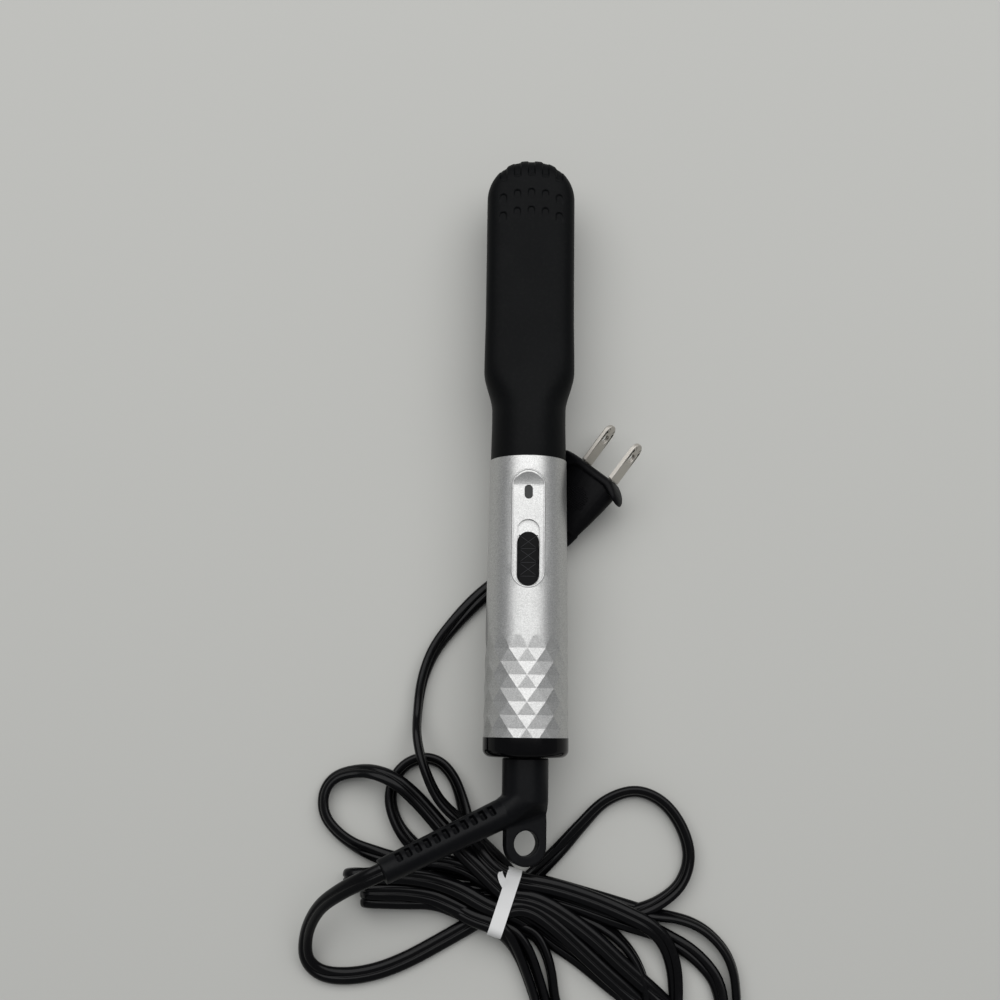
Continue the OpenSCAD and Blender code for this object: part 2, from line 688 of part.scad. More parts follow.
// Slide switch on the board, with a lever that the carriage pushes
switch_w = 6.6;
switch_len = 12.5;
switch_h = 3.6;
switch_y = slot_mid_y - travel / 2;
lever_w = 2;
lever_sink = 1.4;
switch_top = board_top + switch_h;
module switch_body() {
    color([0.3, 0.3, 0.32]) difference() {
        translate([-switch_w / 2, switch_y - switch_len / 2, board_top]) cube([switch_w, switch_len, switch_h]);
        translate([-lever_w / 2 - fit, switch_y - travel / 2 - lever_w / 2 - run_gap, switch_top - lever_sink - run_gap])
            cube([lever_w + 2 * fit, travel + lever_w + 2 * run_gap, big]);
    }
}
lever_y = switch_y - travel / 2;
carriage_z = under_z - carriage_t - fit;
yoke_w = 5;
yoke_len = 5;
module switch_lever() {
    color([0.85, 0.84, 0.8]) translate([-lever_w / 2, lever_y - lever_w / 2, switch_top - lever_sink])
        cube([lever_w, lever_w, carriage_z - 0.4 - switch_top + lever_sink]);
}
module button_carriage() {
    color([0.8, 0.81, 0.82]) difference() {
        union() {
            translate([-carriage_w / 2, carriage_rear_y, carriage_z])
                cube([carriage_w, carriage_front_y - carriage_rear_y, carriage_t]);
            translate([-yoke_w / 2, lever_y - yoke_len / 2, switch_top + run_gap])
                cube([yoke_w, yoke_len, carriage_z - switch_top - run_gap + 0.1]);
        }
        translate([-lever_w / 2 - fit / 2, lever_y - lever_w / 2 - fit / 2, switch_top - over])
            cube([lever_w + fit, lever_w + fit, carriage_z - 0.3 - switch_top + over]);
    }
}
button_w = slot_w - 2 * button_gap;
button_y = slot_rear_y + button_gap + button_len / 2;
button_z = carriage_z + carriage_t;
button_top = floor_z + button_rise;
button_crown = 0.7;
module switch_button() {
    crown_r = (pow(button_w / 2, 2) + pow(button_crown, 2)) / (2 * button_crown);
    color([0.04, 0.04, 0.045]) intersection() {
        translate([0, button_y, button_z]) linear_extrude(height = button_top - button_z)
            stadium(button_w, button_len);
        translate([0, button_y + button_len, button_top - crown_r]) rotate([90, 0, 0])
            cylinder(h = 2 * button_len, r = crown_r, $fn = 96);
    }
}

// Wires held inside the handle
lead_r = 0.8;
lead_section = [for (k = [0 : 7]) [lead_r * cos(45 * k), lead_r * sin(45 * k)]];
neck_wire_x = 4.2;
neck_wire_rise = 4.8;
wire_pad_x = 6;
wire_on_board = 3;
wire_level_len = 3;
module heater_wires() {
    color([0.7, 0.12, 0.1]) for (side = [-1, 1]) tube([
        [side * wire_pad_x, board_front_y - wire_on_board, board_top + lead_r, 0],
        [side * neck_wire_x, board_front_y + 2 * wire_on_board, axis_h + neck_wire_rise, 0],
        [side * neck_wire_x, window_y - element_len / 2 - 4 * wire_level_len, axis_h + neck_wire_rise, 0],
        [side * neck_wire_x, window_y - element_len / 2 - wire_level_len, element_z + element_t / 2, 0],
        [side * neck_wire_x, window_y - element_len / 2, element_z + element_t / 2, 0]
    ], lead_section);
}
block_depth = 7.8;
block_y = sleeve_rear_y + block_depth;
tail_wire_x = 2.6;
tail_wire_rise = 2;
block_t = 3;
module supply_wires() {
    color([0.12, 0.12, 0.13]) for (side = [-1, 1]) tube([
        [side * (tail_wire_x + 2 * lead_r), board_rear_y + wire_on_board / 2, board_top + lead_r, 0],
        [side * (tail_wire_x + lead_r), board_rear_y - wire_on_board / 2, board_top + lead_r, 0],
        [side * tail_wire_x, board_rear_y - 2 * wire_on_board, axis_h + tail_wire_rise, 0],
        [side * tail_wire_x, block_y, axis_h + tail_wire_rise, 0]
    ], lead_section);
}

// Tail: a cap with a spigot in the sleeve and a bore for the swivel
cap_spigot_len = 9;
cap_spigot_r = sleeve_rear_d / 2 - sleeve_wall - 0.2;
cap_inner_r = cap_spigot_r - 1.7;
bore_r = journal_d / 2 + journal_gap;
module end_cap() {
    color([0.03, 0.03, 0.035]) difference() {
        union() {
            on_axis(tail_y) rotate_extrude($fn = 96) {
                square([cap_d / 2 - cap_round, cap_len]);
                translate([0, cap_round]) square([cap_d / 2, cap_len - cap_round]);
                translate([cap_d / 2 - cap_round, cap_round]) circle(r = cap_round);
            }
            on_axis(sleeve_rear_y - 0.5) cylinder(h = cap_spigot_len + 0.5, r = cap_spigot_r, $fn = 96);
        }
        on_axis(tail_y + cap_wall) cylinder(h = big, r = cap_inner_r, $fn = 96);
        on_axis(tail_y - over) cylinder(h = big, r = bore_r, $fn = 96);
    }
}
rotor_flange_r = cap_inner_r - 0.6;
rotor_flange_t = 2;
rotor_y = tail_y + cap_wall + run_gap / 2;
rotor_face_y = rotor_y + rotor_flange_t;
core_r = 4.8;
module swivel_rotor() {
    color([0.85, 0.84, 0.8]) difference() {
        union() {
            on_axis(tail_y) cylinder(h = rotor_face_y - tail_y, d = journal_d, $fn = 96);
            on_axis(rotor_y) cylinder(h = rotor_flange_t, r = rotor_flange_r, $fn = 96);
        }
        on_axis(tail_y - over) cylinder(h = rotor_y - tail_y + over, r = core_r + fit);
        on_axis(tail_y) cylinder(h = big, r = core_r / 2);
    }
}
ring_t = 0.6;
outer_ring = [6.6, 8.2];
inner_ring = [3.2, 4.8];
module contact_rings() {
    color([0.85, 0.65, 0.25]) for (ring = [outer_ring, inner_ring]) on_axis(rotor_face_y) difference() {
        cylinder(h = ring_t, r = ring[1], $fn = 64);
        translate([0, 0, -over]) cylinder(h = ring_t + 2 * over, r = ring[0], $fn = 64);
    }
}
module contact_block() {
    skirt_t = 1;
    color([0.8, 0.79, 0.72]) difference() {
        on_axis(rotor_face_y + run_gap) cylinder(h = block_y - rotor_face_y - run_gap, r = cap_inner_r - fit, $fn = 96);
        on_axis(rotor_face_y - over) cylinder(h = block_y - block_t - rotor_face_y + over,
            r = cap_inner_r - fit - skirt_t, $fn = 96);
        for (spring = spring_places) translate([spring.x - 1.6, block_y - block_t - over, axis_h - 0.5 + spring.y])
            cube([3.2, big, 1]);
    }
}
// One leaf for each ring: [place along X, height above the axis]
spring_places = [[(outer_ring[0] + outer_ring[1]) / 2, 0], [-(inner_ring[0] + inner_ring[1]) / 2, 0]];
module contact_springs() {
    tip_y_near = rotor_face_y + ring_t + fit;
    color([0.8, 0.55, 0.3]) for (spring = spring_places)
        translate([spring.x, 0, axis_h - 0.3 + spring.y]) linear_extrude(height = 0.6) polygon([
            [-0.5, tip_y_near], [0.5, tip_y_near], [1, block_y - block_t - 0.4], [1, block_y + 1.5],
            [-1, block_y + 1.5], [-1, block_y - block_t - 0.4]
        ]);
}

// Cord boot, drawn in its own plane with the bend at the origin and rolled about the handle's axis
boot_start = boot_len - 0.3;
slot_pitch = 3.38;
first_slot = 12.3;
slot_gap = 1.7;
slot_turn = 42;
elbow_r = 2.4;
collar_len = 5;
// From the bend to the start of the tab's round end, and from there back up to its hole
tab_reach = 6.8;
hole_rise = 0.6;
module boot_pose() { translate([0, bend_y, axis_h]) rotate([0, boot_roll, 0]) children(); }
// Children with +X along the strain relief, their Y axis in the plane of the boot
module along_relief() { rotate([0, 0, -90 - relief_angle]) children(); }
// One row of windows through the relief's skin, turned about its axis from the side that faces up
module slot_row(turn) {
    for (i = [0 : relief_slots - 1]) {
        x = first_slot + i * slot_pitch;
        r = mix(relief_d, relief_end_d, x / relief_len) / 2;
        if (x < relief_len - collar_len - slot_gap / 2) rotate([turn, 0, 0]) translate([x, 0, r])
            cube([slot_gap, r * 0.78, r * 0.9], center = true);
    }
}
module cord_boot() {
    tab_mid = tab_w / 2 + tab_reach;
    color([0.05, 0.05, 0.055]) boot_pose() difference() {
        union() {
            rotate([-90, 0, 0]) cylinder(h = boot_start, r = boot_d / 2);
            rotate([-90, 0, 0]) cylinder(h = boot_len + cap_wall, r = core_r);
            // The bend: the neck runs out into the relief along a rounded shoulder
            hull() {
                rotate([-90, 0, 0]) cylinder(h = 2.4, r = boot_d / 2, $fn = 32);
                along_relief() translate([7, 0, 0]) rotate([0, 90, 0]) cylinder(h = 1, r = relief_d / 2, $fn = 32);
                translate([boot_d / 2 - elbow_r, -elbow_r, 0]) sphere(r = elbow_r, $fn = 32);
            }
            along_relief() difference() {
                rotate([0, 90, 0]) cylinder(h = relief_len, r1 = relief_d / 2, r2 = relief_end_d / 2);
                slot_row(slot_turn);
                slot_row(slot_turn + 180);
            }
            // The hanging tab
            linear_extrude(height = tab_t, center = true) {
                translate([-tab_w / 2, -tab_mid]) square([tab_w, tab_mid]);
                translate([0, -tab_mid]) circle(d = tab_w);
            }
        }
        translate([0, hole_rise - tab_mid, 0]) cylinder(h = 2 * tab_t, d = tab_hole_d, center = true, $fn = 64);
    }
}

// Cord. Each point is [x, y, z, tilt]: tilt 0 lies flat, 90 stands on its edge.
cord_section = let (a = cord_w / 2, b = cord_t / 2) [
    [a, b * 0.4], [a - b * 0.6, b], [-a + b * 0.6, b], [-a, b * 0.4],
    [-a, -b * 0.4], [-a + b * 0.6, -b], [a - b * 0.6, -b], [a, -b * 0.4]
];
module cord_tube(route) { color([0.03, 0.03, 0.035]) tube(route, cord_section); }
lead_route = [
    [-45, -140.4, 31.4, 0], [-52.5, -144, 29.6, 5], [-58.5, -147.2, 25.5, 20], [-67.5, -154.2, 16.5, 38],
    [-72.4, -163.8, 8.4, 42], [-72.4, -172.6, 4, 32], [-68, -176.8, 2.6, 20], [-60, -178, 1.8, 0],
    [-50, -176.5, 1.8, 0], [-40, -172.8, 1.8, 0], [-27, -165.9, 1.8, 0], [-14, -158.3, 1.8, 0]
];
left_route = [
    [-42, -140, 4.5, 0], [-51.5, -137, 3.8, 20], [-58, -134.5, 3, 50], [-63.9, -130.2, 3.4, 60],
    [-67.9, -125.2, 3.4, 62], [-68.9, -119.5, 3.4, 62], [-67.6, -115, 3.4, 62], [-64.4, -111.8, 3.6, 60],
    [-56, -109.8, 5.6, 50], [-49.5, -110.5, 8.8, 35], [-43.5, -113.1, 9.4, 25], [-36.5, -119, 7.2, 10],
    [-28.2, -128, 5.6, 0], [-14, -142, 6, 0]
];
upper_route = [
    [-30, -141.5, 3.6, 0], [-39, -133.2, 3, 40], [-43.5, -127, 3.3, 60], [-45.8, -119, 3.4, 62],
    [-43.8, -111, 3.4, 62], [-39.2, -106.6, 3.4, 62], [-34, -105.3, 3.4, 62], [-28.8, -106.8, 3.4, 62],
    [-24.2, -112, 3.4, 62], [-21.4, -119, 3.2, 60], [-18.5, -128.5, 3.4, 30], [-11, -142, 3.8, 0]
];
right_route = [
    [-1, -148.5, 2.2, 0], [4, -143.6, 2.4, 10], [11.8, -135.8, 2.8, 25], [19.5, -127.2, 3.2, 45],
    [28, -118.9, 3.3, 58], [38.2, -115.5, 3.4, 64], [47, -118.8, 3.4, 64], [53.6, -127, 3.4, 64],
    [56.3, -137, 3.4, 64], [53.3, -146.3, 3.4, 60], [45.5, -152.8, 3, 50], [36, -156.6, 2.4, 20]
];
plug_route = [
    [6.1, -32.6, 2.6, 0], [0.5, -37.1, 2, 0], [-5, -40.6, 1.8, 0], [-15.7, -49, 1.8, 5], [-24.2, -58, 2.6, 30],
    [-31.6, -68, 3, 50], [-35.5, -78, 3.4, 70], [-37.1, -90, 3.6, 85], [-36.7, -99, 8.8, 85],
    [-34, -108.6, 10.4, 80], [-28.8, -119.6, 9.6, 70], [-20, -132.6, 8.4, 40], [-10.5, -144, 8.6, 0]
];
module cord_lead() { cord_tube(lead_route); }
module cord_loop_left() { cord_tube(left_route); }
module cord_loop_upper() { cord_tube(upper_route); }
module cord_loop_right() { cord_tube(right_route); }
module cord_plug_lead() { cord_tube(plug_route); }

// The tied hank, as closed solids of its outer shape on both sides of the tie
hank_h = 7;
hank_left_outline = [
    [-60, -145.5], [-58.5, -142.6], [-54.5, -139.4], [-46, -138.5], [-30, -139.5], [-18, -141.2], [-3, -142.6],
    [-9.6, -163], [-20.5, -158.6], [-36, -156.6], [-50, -156], [-54, -154], [-57, -149.5]
];
hank_right_outline = [
    [-3, -142.6], [8, -144.8], [18, -147.2], [28, -150.4], [36, -153.6], [46, -155.4], [56, -156.4], [62, -159.4],
    [69, -165], [72.5, -174], [72.5, -185], [69, -197], [62, -206], [50, -212], [34, -214], [20, -212],
    [9, -205], [3, -195], [0, -184], [-3, -174], [-6.5, -168], [-9.6, -163]
];
module cord_hank_left() { color([0.04, 0.04, 0.045]) linear_extrude(height = hank_h) polygon(hank_left_outline); }
module cord_hank_right() { color([0.04, 0.04, 0.045]) linear_extrude(height = hank_h) polygon(hank_right_outline); }

// White tie around the waist of the hank
tie_mid = [-6.3, -152.8];
tie_turn = -18;
tie_len = 23.4;
tie_w = 4.8;
tie_t = 0.6;
tie_h = 10.4;
module cord_tie() {
    color([0.92, 0.92, 0.92]) translate([tie_mid.x, tie_mid.y, tie_h / 2]) rotate([0, 0, tie_turn]) rotate([0, 90, 0])
        linear_extrude(height = tie_w, center = true) difference() {
            square([tie_h, tie_len], center = true);
            square([tie_h - 2 * tie_t, tie_len - 2 * tie_t], center = true);
        }
}

// Plug, drawn with the blades along +Y and its flange's face at the origin
plug_at = [25.1, -5.7, 10.2];
plug_heading = -36.3;
plug_pitch = 10;
plug_roll = -24.4;
plug_tail_w = 15.6;
plug_tail_t = 5.8;
flange_t = 2.8;
flange_sweep = 3;
plug_steps = 5;
module plug_pose() {
    translate(plug_at) rotate([0, 0, plug_heading]) rotate([plug_pitch, 0, 0]) rotate([0, plug_roll, 0]) children();
}
// A ring with broad flats above and below and bevels down to a narrow edge on both sides
function plug_ring(y, w, t, flat, edge, drop = 0, shift = 0, turn = 0) = [
    for (q = [[1, edge], [flat, 1], [-flat, 1], [-1, edge], [-1, -edge], [-flat, -1], [flat, -1], [1, -edge]])
        let (x = q[0] * w / 2, z = q[1] * t / 2)
        [shift + x * cos(turn) - z * sin(turn), y, x * sin(turn) + z * cos(turn) - drop]
];
module plug_body() {
    color([0.035, 0.035, 0.04]) plug_pose() {
        // Wedge body, narrowing to a thin tail
        skin([for (i = [0 : plug_steps]) let (u = i / plug_steps) plug_ring(
            mix(-flange_t + 0.6, -plug_len, u), mix(plug_w, plug_tail_w, pow(u, 1.5)),
            mix(plug_t, plug_tail_t, pow(u, 1.2)), mix(0.62, 0.52, u), mix(0.44, 0.34, u)
        )]);
        // Flexible neck where the cord leaves the plug
        skin([
            plug_ring(-plug_len + 0.6, plug_tail_w, plug_tail_t - 0.6, 0.6, 0.4, 0.2, 0.4),
            plug_ring(-plug_len - 3.6, plug_tail_w - 3, plug_tail_t - 1.2, 0.6, 0.4, 0.8, 0.9),
            plug_ring(-plug_len - 7, cord_w + 3, cord_t + 1, 0.7, 0.4, 1.4, 0.5, plug_roll / 2),
            plug_ring(-plug_len - 10.4, cord_w + 1.2, cord_t + 0.6, 0.8, 0.4, 1.9, -0.2, plug_roll)
        ]);
        // Flange, its ends swept back for the fingers
        intersection() {
            linear_extrude(height = flange_h, center = true) polygon([
                [-flange_w / 2, -flange_sweep], [-flange_w / 3, -flange_sweep * 0.3], [-3, 0], [3, 0],
                [flange_w / 3, -flange_sweep * 0.3], [flange_w / 2, -flange_sweep],
                [flange_w / 2 - 0.6, -flange_sweep - flange_t], [flange_w / 3, -flange_t - 0.9],
                [-flange_w / 3, -flange_t - 0.9], [-flange_w / 2 + 0.6, -flange_sweep - flange_t]
            ]);
            rotate([90, 0, 0]) linear_extrude(height = 8) polygon([
                [-flange_w / 2, -flange_h / 2 + 3.3], [-flange_w / 2 + 3, -flange_h / 2],
                [flange_w / 2 - 3, -flange_h / 2], [flange_w / 2, -flange_h / 2 + 3.3],
                [flange_w / 2, flange_h / 2 - 3.3], [flange_w / 2 - 3, flange_h / 2],
                [-flange_w / 2 + 3, flange_h / 2], [-flange_w / 2, flange_h / 2 - 3.3]
            ]);
        }
    }
}
blade_hole_d = 3.2;
blade_hole_y = blade_len - 5.7;
module plug_blades() {
    color([0.72, 0.7, 0.64]) plug_pose() for (side = [-1, 1]) translate([side * blade_gap / 2, 0, 0])
        rotate([0, 90, 0]) difference() {
            linear_extrude(height = blade_t, center = true) {
                translate([-blade_w / 2, 0.05]) square([blade_w, blade_len - blade_w / 2]);
                translate([0, blade_len - blade_w / 2]) intersection() {
                    circle(d = blade_w);
                    translate([-blade_w / 2, 0]) square([blade_w, blade_w / 2]);
                }
            }
            translate([0, blade_hole_y, 0]) cylinder(h = 3 * blade_t, d = blade_hole_d, center = true);
        }
}

head_cover();
head_frame();
heater_plate();
comb_guard();
heater_element();
insulator_pad();
heater_clamp();
thermal_cutout();
thermistor();
head_screws();
clamp_screws();
sleeve_top();
sleeve_bottom();
sleeve_screws();
lamp_lens();
indicator_led();
circuit_board();
board_screws();
switch_body();
heater_wires();
supply_wires();
contact_block();
contact_springs();
end_cap();
switch_lever();
button_carriage();
switch_button();
swivel_rotor();
contact_rings();
cord_boot();
cord_lead();
cord_loop_left();
cord_loop_upper();
cord_loop_right();
cord_plug_lead();
cord_hank_left();
cord_hank_right();
cord_tie();
plug_body();
plug_blades();
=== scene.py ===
# %% [markdown]
# # A corded beard straightener, dressed for its picture
# The construction model already holds every shell, screw, comb tooth and plug blade at its true size and
# place. This script loads it as a fixed frame, adds the cord at its full length, and gives every surface
# its finish.

# %% Load the frame and keep its box
import json
import math

import bmesh
import bpy
import numpy as np
from mathutils import Matrix, Vector


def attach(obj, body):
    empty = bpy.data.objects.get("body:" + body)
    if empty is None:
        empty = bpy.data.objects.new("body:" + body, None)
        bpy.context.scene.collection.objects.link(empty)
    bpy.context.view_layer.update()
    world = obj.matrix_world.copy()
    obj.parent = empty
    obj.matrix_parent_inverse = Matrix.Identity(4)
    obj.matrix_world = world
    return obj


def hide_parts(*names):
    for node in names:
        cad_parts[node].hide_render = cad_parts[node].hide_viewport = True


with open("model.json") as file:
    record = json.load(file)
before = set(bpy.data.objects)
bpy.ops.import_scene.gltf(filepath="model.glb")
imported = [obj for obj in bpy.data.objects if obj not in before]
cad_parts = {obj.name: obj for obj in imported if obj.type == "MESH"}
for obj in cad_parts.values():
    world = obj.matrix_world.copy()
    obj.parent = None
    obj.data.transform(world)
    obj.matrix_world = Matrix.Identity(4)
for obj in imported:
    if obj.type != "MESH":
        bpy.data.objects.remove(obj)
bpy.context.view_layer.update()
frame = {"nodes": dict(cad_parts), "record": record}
MM = 0.001

# %% [markdown]
# ## The camera
# The photograph looks almost straight down from about half a metre, with the camera tipped a little
# forwards. A real camera that close shows the raised parts larger than the surface below them, so the lens
# and the height matter as much as the place: they decide how far the head and the cord spread in the frame.

# %% Camera
PICTURE_PX = 1000
FOCAL_PX = 1450
SENSOR_MM = 36
CAMERA_PLACE = Vector((-9.6, -95.3, 510)) * MM
CAMERA_PITCH = math.radians(9)
CAMERA_ROLL = math.radians(0.75)

camera_data = bpy.data.cameras.new("camera")
camera_data.sensor_width = SENSOR_MM
camera_data.lens = FOCAL_PX / PICTURE_PX * SENSOR_MM
camera_data.clip_start = 0.01
camera = bpy.data.objects.new("camera", camera_data)
bpy.context.scene.collection.objects.link(camera)
camera.matrix_world = (
    Matrix.Translation(CAMERA_PLACE)
    @ Matrix.Rotation(CAMERA_PITCH, 4, "X")
    @ Matrix.Rotation(CAMERA_ROLL, 4, "Z")
)
bpy.context.scene.camera = camera
print("lens", round(camera_data.lens, 1), "mm")

# %% [markdown]
# ## Meshes from rings
# Most moulded shapes here are a row of closed outlines joined by a skin: the cord, the plug, the head's
# shells. One small helper makes an object from points and faces, and another skins a grid of rings.


# %% Mesh helpers
def make_object(name, points, faces, smooth=True):
    mesh = bpy.data.meshes.new(name)
    mesh.from_pydata([tuple(p) for p in points], [], faces)
    mesh.validate()
    mesh.update()
    if smooth:
        mesh.shade_smooth()
    piece = bpy.data.objects.new(name, mesh)
    bpy.context.scene.collection.objects.link(piece)
    return piece


def skin_faces(rings, sides, closed=True):
    wrap = sides if closed else sides - 1
    faces = []
    for i in range(rings - 1):
        for k in range(wrap):
            a, b = i * sides + k, i * sides + (k + 1) % sides
            faces.append((a, b, b + sides, a + sides))
    return faces


def skin_rings(name, rings, caps=True):
    """A closed skin through equal rings of points, in millimetres."""
    rings = np.asarray(rings, float) * MM
    count, sides = rings.shape[:2]
    faces = skin_faces(count, sides)
    if caps:
        faces.append(tuple(range(sides - 1, -1, -1)))
        faces.append(tuple(range((count - 1) * sides, count * sides)))
    return make_object(name, rings.reshape(-1, 3), faces)


def outward(piece, weld=0):
    """Turns every face of a closed mesh to the outside, and first joins points closer than weld metres."""
    work = bmesh.new()
    work.from_mesh(piece.data)
    if weld:
        bmesh.ops.remove_doubles(work, verts=work.verts, dist=weld)
    bmesh.ops.recalc_face_normals(work, faces=work.faces)
    work.to_mesh(piece.data)
    work.free()
    return piece


# %% [markdown]
# ## The route of the flat cord
# About two metres of limp flat cord leave the boot and end in the plug. The middle is folded into a hank that
# a white tie holds at its waist, and it passes through the tie twelve times, in four columns and three
# layers. Each stretch is a short list of points: place, and the tilt of the cord's flat side, from 0 flat to
# 90 on its edge. A smooth curve through all of them is the centreline.

# %% Tie slots and the stretches of the route
CORD_W = 5.8
CORD_T = 3.0
TIE_MID = Vector((-6.3, -152.8, 0))
TIE_TURN = math.radians(-18)
TIE_ALONG = Vector((-math.sin(TIE_TURN), math.cos(TIE_TURN), 0))
SLOT_COLUMNS = [8.25, 2.75, -2.75, -8.25]
SLOT_LAYERS = {"low": 2.1, "mid": 5.1, "top": 8.1}


def slot(column, layer):
    """The point where one pass of the cord goes through the tie."""
    place = TIE_MID + TIE_ALONG * SLOT_COLUMNS[column]
    return (place.x, place.y, SLOT_LAYERS[layer], 0)


lead_from_boot = [
    (-45, -140.4, 31.4, 0), (-52.5, -144, 29.6, 5), (-58.5, -147.2, 25.5, 20), (-67.5, -154.2, 16.5, 38),
    (-72.4, -163.8, 8.4, 42), (-72.4, -172.6, 4, 32), (-68, -176.8, 2.6, 20), (-60, -178, 1.8, 0),
    (-50, -176.5, 1.8, 0), (-40, -172.8, 1.8, 0), (-27, -165.9, 1.8, 0), (-14, -158.3, 1.8, 0),
]
loop_right = [
    (-7, -153.5, 2, 0), (-1, -148.5, 2.2, 0), (4, -143.6, 2.4, 10), (11.8, -135.8, 2.8, 25),
    (19.5, -127.2, 3.2, 45), (28, -118.9, 3.3, 58), (38.2, -115.5, 3.4, 64), (47, -118.8, 3.4, 64),
    (53.6, -127, 3.4, 64), (56.3, -137, 3.4, 64), (53.3, -146.3, 3.4, 60), (45.5, -152.8, 3, 50),
    (36, -156.6, 2.4, 20), (27, -159.2, 1.8, 5), (18, -159.4, 1.6, 0), (9, -156.4, 1.6, 0),
    (2, -152.8, 1.7, 0),
]
fold_near = [
    (-14, -149.8, 2, 0), (-22, -149.6, 1.8, 0), (-31, -150.3, 1.6, 0), (-42, -151.7, 1.6, 0),
    (-50, -152.1, 1.6, 0), (-53.6, -152.2, 2.4, 0), (-54.6, -152.3, 4, 0), (-53.4, -152.4, 5.6, 0),
    (-49, -152.5, 6.2, 0), (-41, -152.7, 5.8, 0), (-30, -153, 5, 0), (-21, -156.2, 3.6, 0),
    (-14, -159.2, 2.4, 0),
]
fold_middle = [
    (-15, -155, 4.2, 0), (-24, -153, 2.6, 0), (-33, -151.2, 1.8, 0), (-42, -150, 1.7, 0),
    (-50, -149.8, 1.8, 0), (-53, -149.8, 2.8, 0), (-54, -149.8, 4.6, 0), (-53, -149.8, 6.4, 0),
    (-49, -149.8, 7, 0), (-41, -149.8, 6.6, 0), (-31, -151.2, 6.2, 0), (-22, -154.9, 5.7, 0),
    (-14, -158.6, 5.3, 0),
]
fold_far = [
    (-13, -153.3, 8, 0), (-22, -148.6, 7.7, 0), (-31, -145.6, 7.6, 0), (-40, -144.4, 7.8, 0),
    (-50, -144.4, 8, 0), (-56.6, -145, 7.8, 0), (-59.4, -145.2, 6.6, 0), (-60.2, -145.2, 4.8, 0),
    (-59.2, -145.2, 3, 0), (-55, -145.2, 1.8, 0), (-48, -146, 1.8, 0), (-38, -148, 2, 0),
    (-28, -152, 3.6, 0), (-18, -157.5, 6.4, 0),
]
loop_left = [
    (-8.6, -147.6, 8.2, 0), (-14, -142.6, 8, 0), (-20, -137, 7.4, 0), (-28.2, -128, 6.4, 5),
    (-36.5, -119, 7.2, 10), (-43.5, -113.1, 9.2, 25), (-49.5, -110.5, 8.6, 35), (-56, -109.8, 5.6, 50),
    (-64.4, -111.8, 3.6, 60), (-67.6, -115, 3.4, 62), (-68.9, -119.5, 3.4, 62), (-67.9, -125.2, 3.4, 62),
    (-63.9, -130.2, 3.4, 60), (-58, -134.5, 3.2, 50), (-51.5, -137.2, 3.8, 20), (-42, -139.8, 4.6, 0),
    (-34, -139.8, 4.8, 0), (-27, -140, 4.8, 0), (-19.5, -142.2, 4.8, 0), (-12.5, -146.2, 5, 0),
]
loop_upper = [
    (-11, -143.6, 3.6, 0), (-20, -143.4, 2, 0), (-30, -140.6, 2, 10), (-39, -133.2, 3, 40),
    (-43.5, -127, 3.3, 60), (-45.8, -119, 3.4, 62), (-43.8, -111, 3.4, 62), (-39.2, -106.6, 3.4, 62),
    (-34, -105.3, 3.4, 62), (-28.8, -106.8, 3.4, 62), (-24.2, -112, 3.4, 62), (-21.4, -119, 3.4, 55),
    (-18.7, -128.5, 5, 30), (-14.6, -136.8, 7.2, 10), (-8.8, -142.4, 8.2, 0),
]
lead_to_plug = [
    (-6.8, -141.4, 3.4, 0), (-11.5, -136.5, 5.6, 25), (-16, -131.8, 7, 45), (-20.5, -127, 8, 60),
    (-28.8, -119, 9.2, 70), (-34, -108.6, 10.2, 80), (-36.7, -99, 8.8, 85), (-37.1, -90, 3.8, 85),
    (-35.5, -78, 3.4, 70), (-31.6, -68, 3, 50), (-24.2, -58, 2.6, 30), (-15.7, -49, 1.8, 5),
    (-5, -40.6, 1.8, 0), (0.5, -37.1, 2, 0), (6.1, -32.6, 2.6, 0),
]
print("stretches of the route set")

# %% [markdown]
# On the right of the tie ten passes fan out. They turn round in pairs outside the picture, one loop inside
# the next.

# %% The fan on the right
fan_low = [
    (-3, -161.6, 2.3, 15), (3.6, -163.2, 2.9, 50), (7.6, -169, 3, 70), (9.8, -176, 3, 78),
    (11.2, -184.8, 3, 80), (14.5, -191.5, 3, 85), (21, -197, 3, 88), (29, -198, 3, 88), (36, -194.6, 3, 80),
    (38.4, -189, 3, 60), (35.3, -184.2, 2.2, 30), (27.3, -177.8, 1.7, 0), (18.7, -171.2, 1.6, 0),
    (10.7, -166, 1.6, 0), (3, -160.4, 2.8, 0),
]
fan_middle = [
    (-3.4, -163, 5, 25), (1.4, -168, 4, 60), (4.6, -175, 3.2, 75), (7.3, -183, 3, 80), (10, -191, 3, 85),
    (15.5, -199.5, 3, 88), (25, -204.6, 3, 88), (36, -204.2, 3, 88), (43.5, -199.5, 3, 85),
    (45.6, -193, 3, 70), (42, -187.4, 3.2, 40), (35.4, -181.9, 3.8, 0), (27.4, -175, 5, 0),
    (18.7, -167.2, 6, 0), (10.2, -159.8, 7.2, 0), (3.4, -155.2, 8, 0), (-1.6, -154, 8.2, 0),
]
fan_wide = [
    (-5.2, -164, 6.6, 35), (-1.5, -170, 4.2, 65), (0.9, -175.5, 3.3, 75), (3.2, -181.5, 3, 75),
    (5.4, -188, 3, 80), (9.5, -197, 3, 85), (17, -205, 3, 88), (28, -209.6, 3, 88), (40, -209, 3, 88),
    (49.5, -203.5, 3, 88), (53.6, -195.5, 3, 80), (52, -189, 3.1, 60), (47.3, -184.6, 3.3, 30),
    (42.2, -180.2, 4, 5), (33.5, -172.8, 5.2, 0), (23.7, -164, 6.4, 0), (13.8, -156.8, 7.4, 0),
    (6, -152.4, 8.1, 0), (0.5, -150.8, 8.3, 0),
]
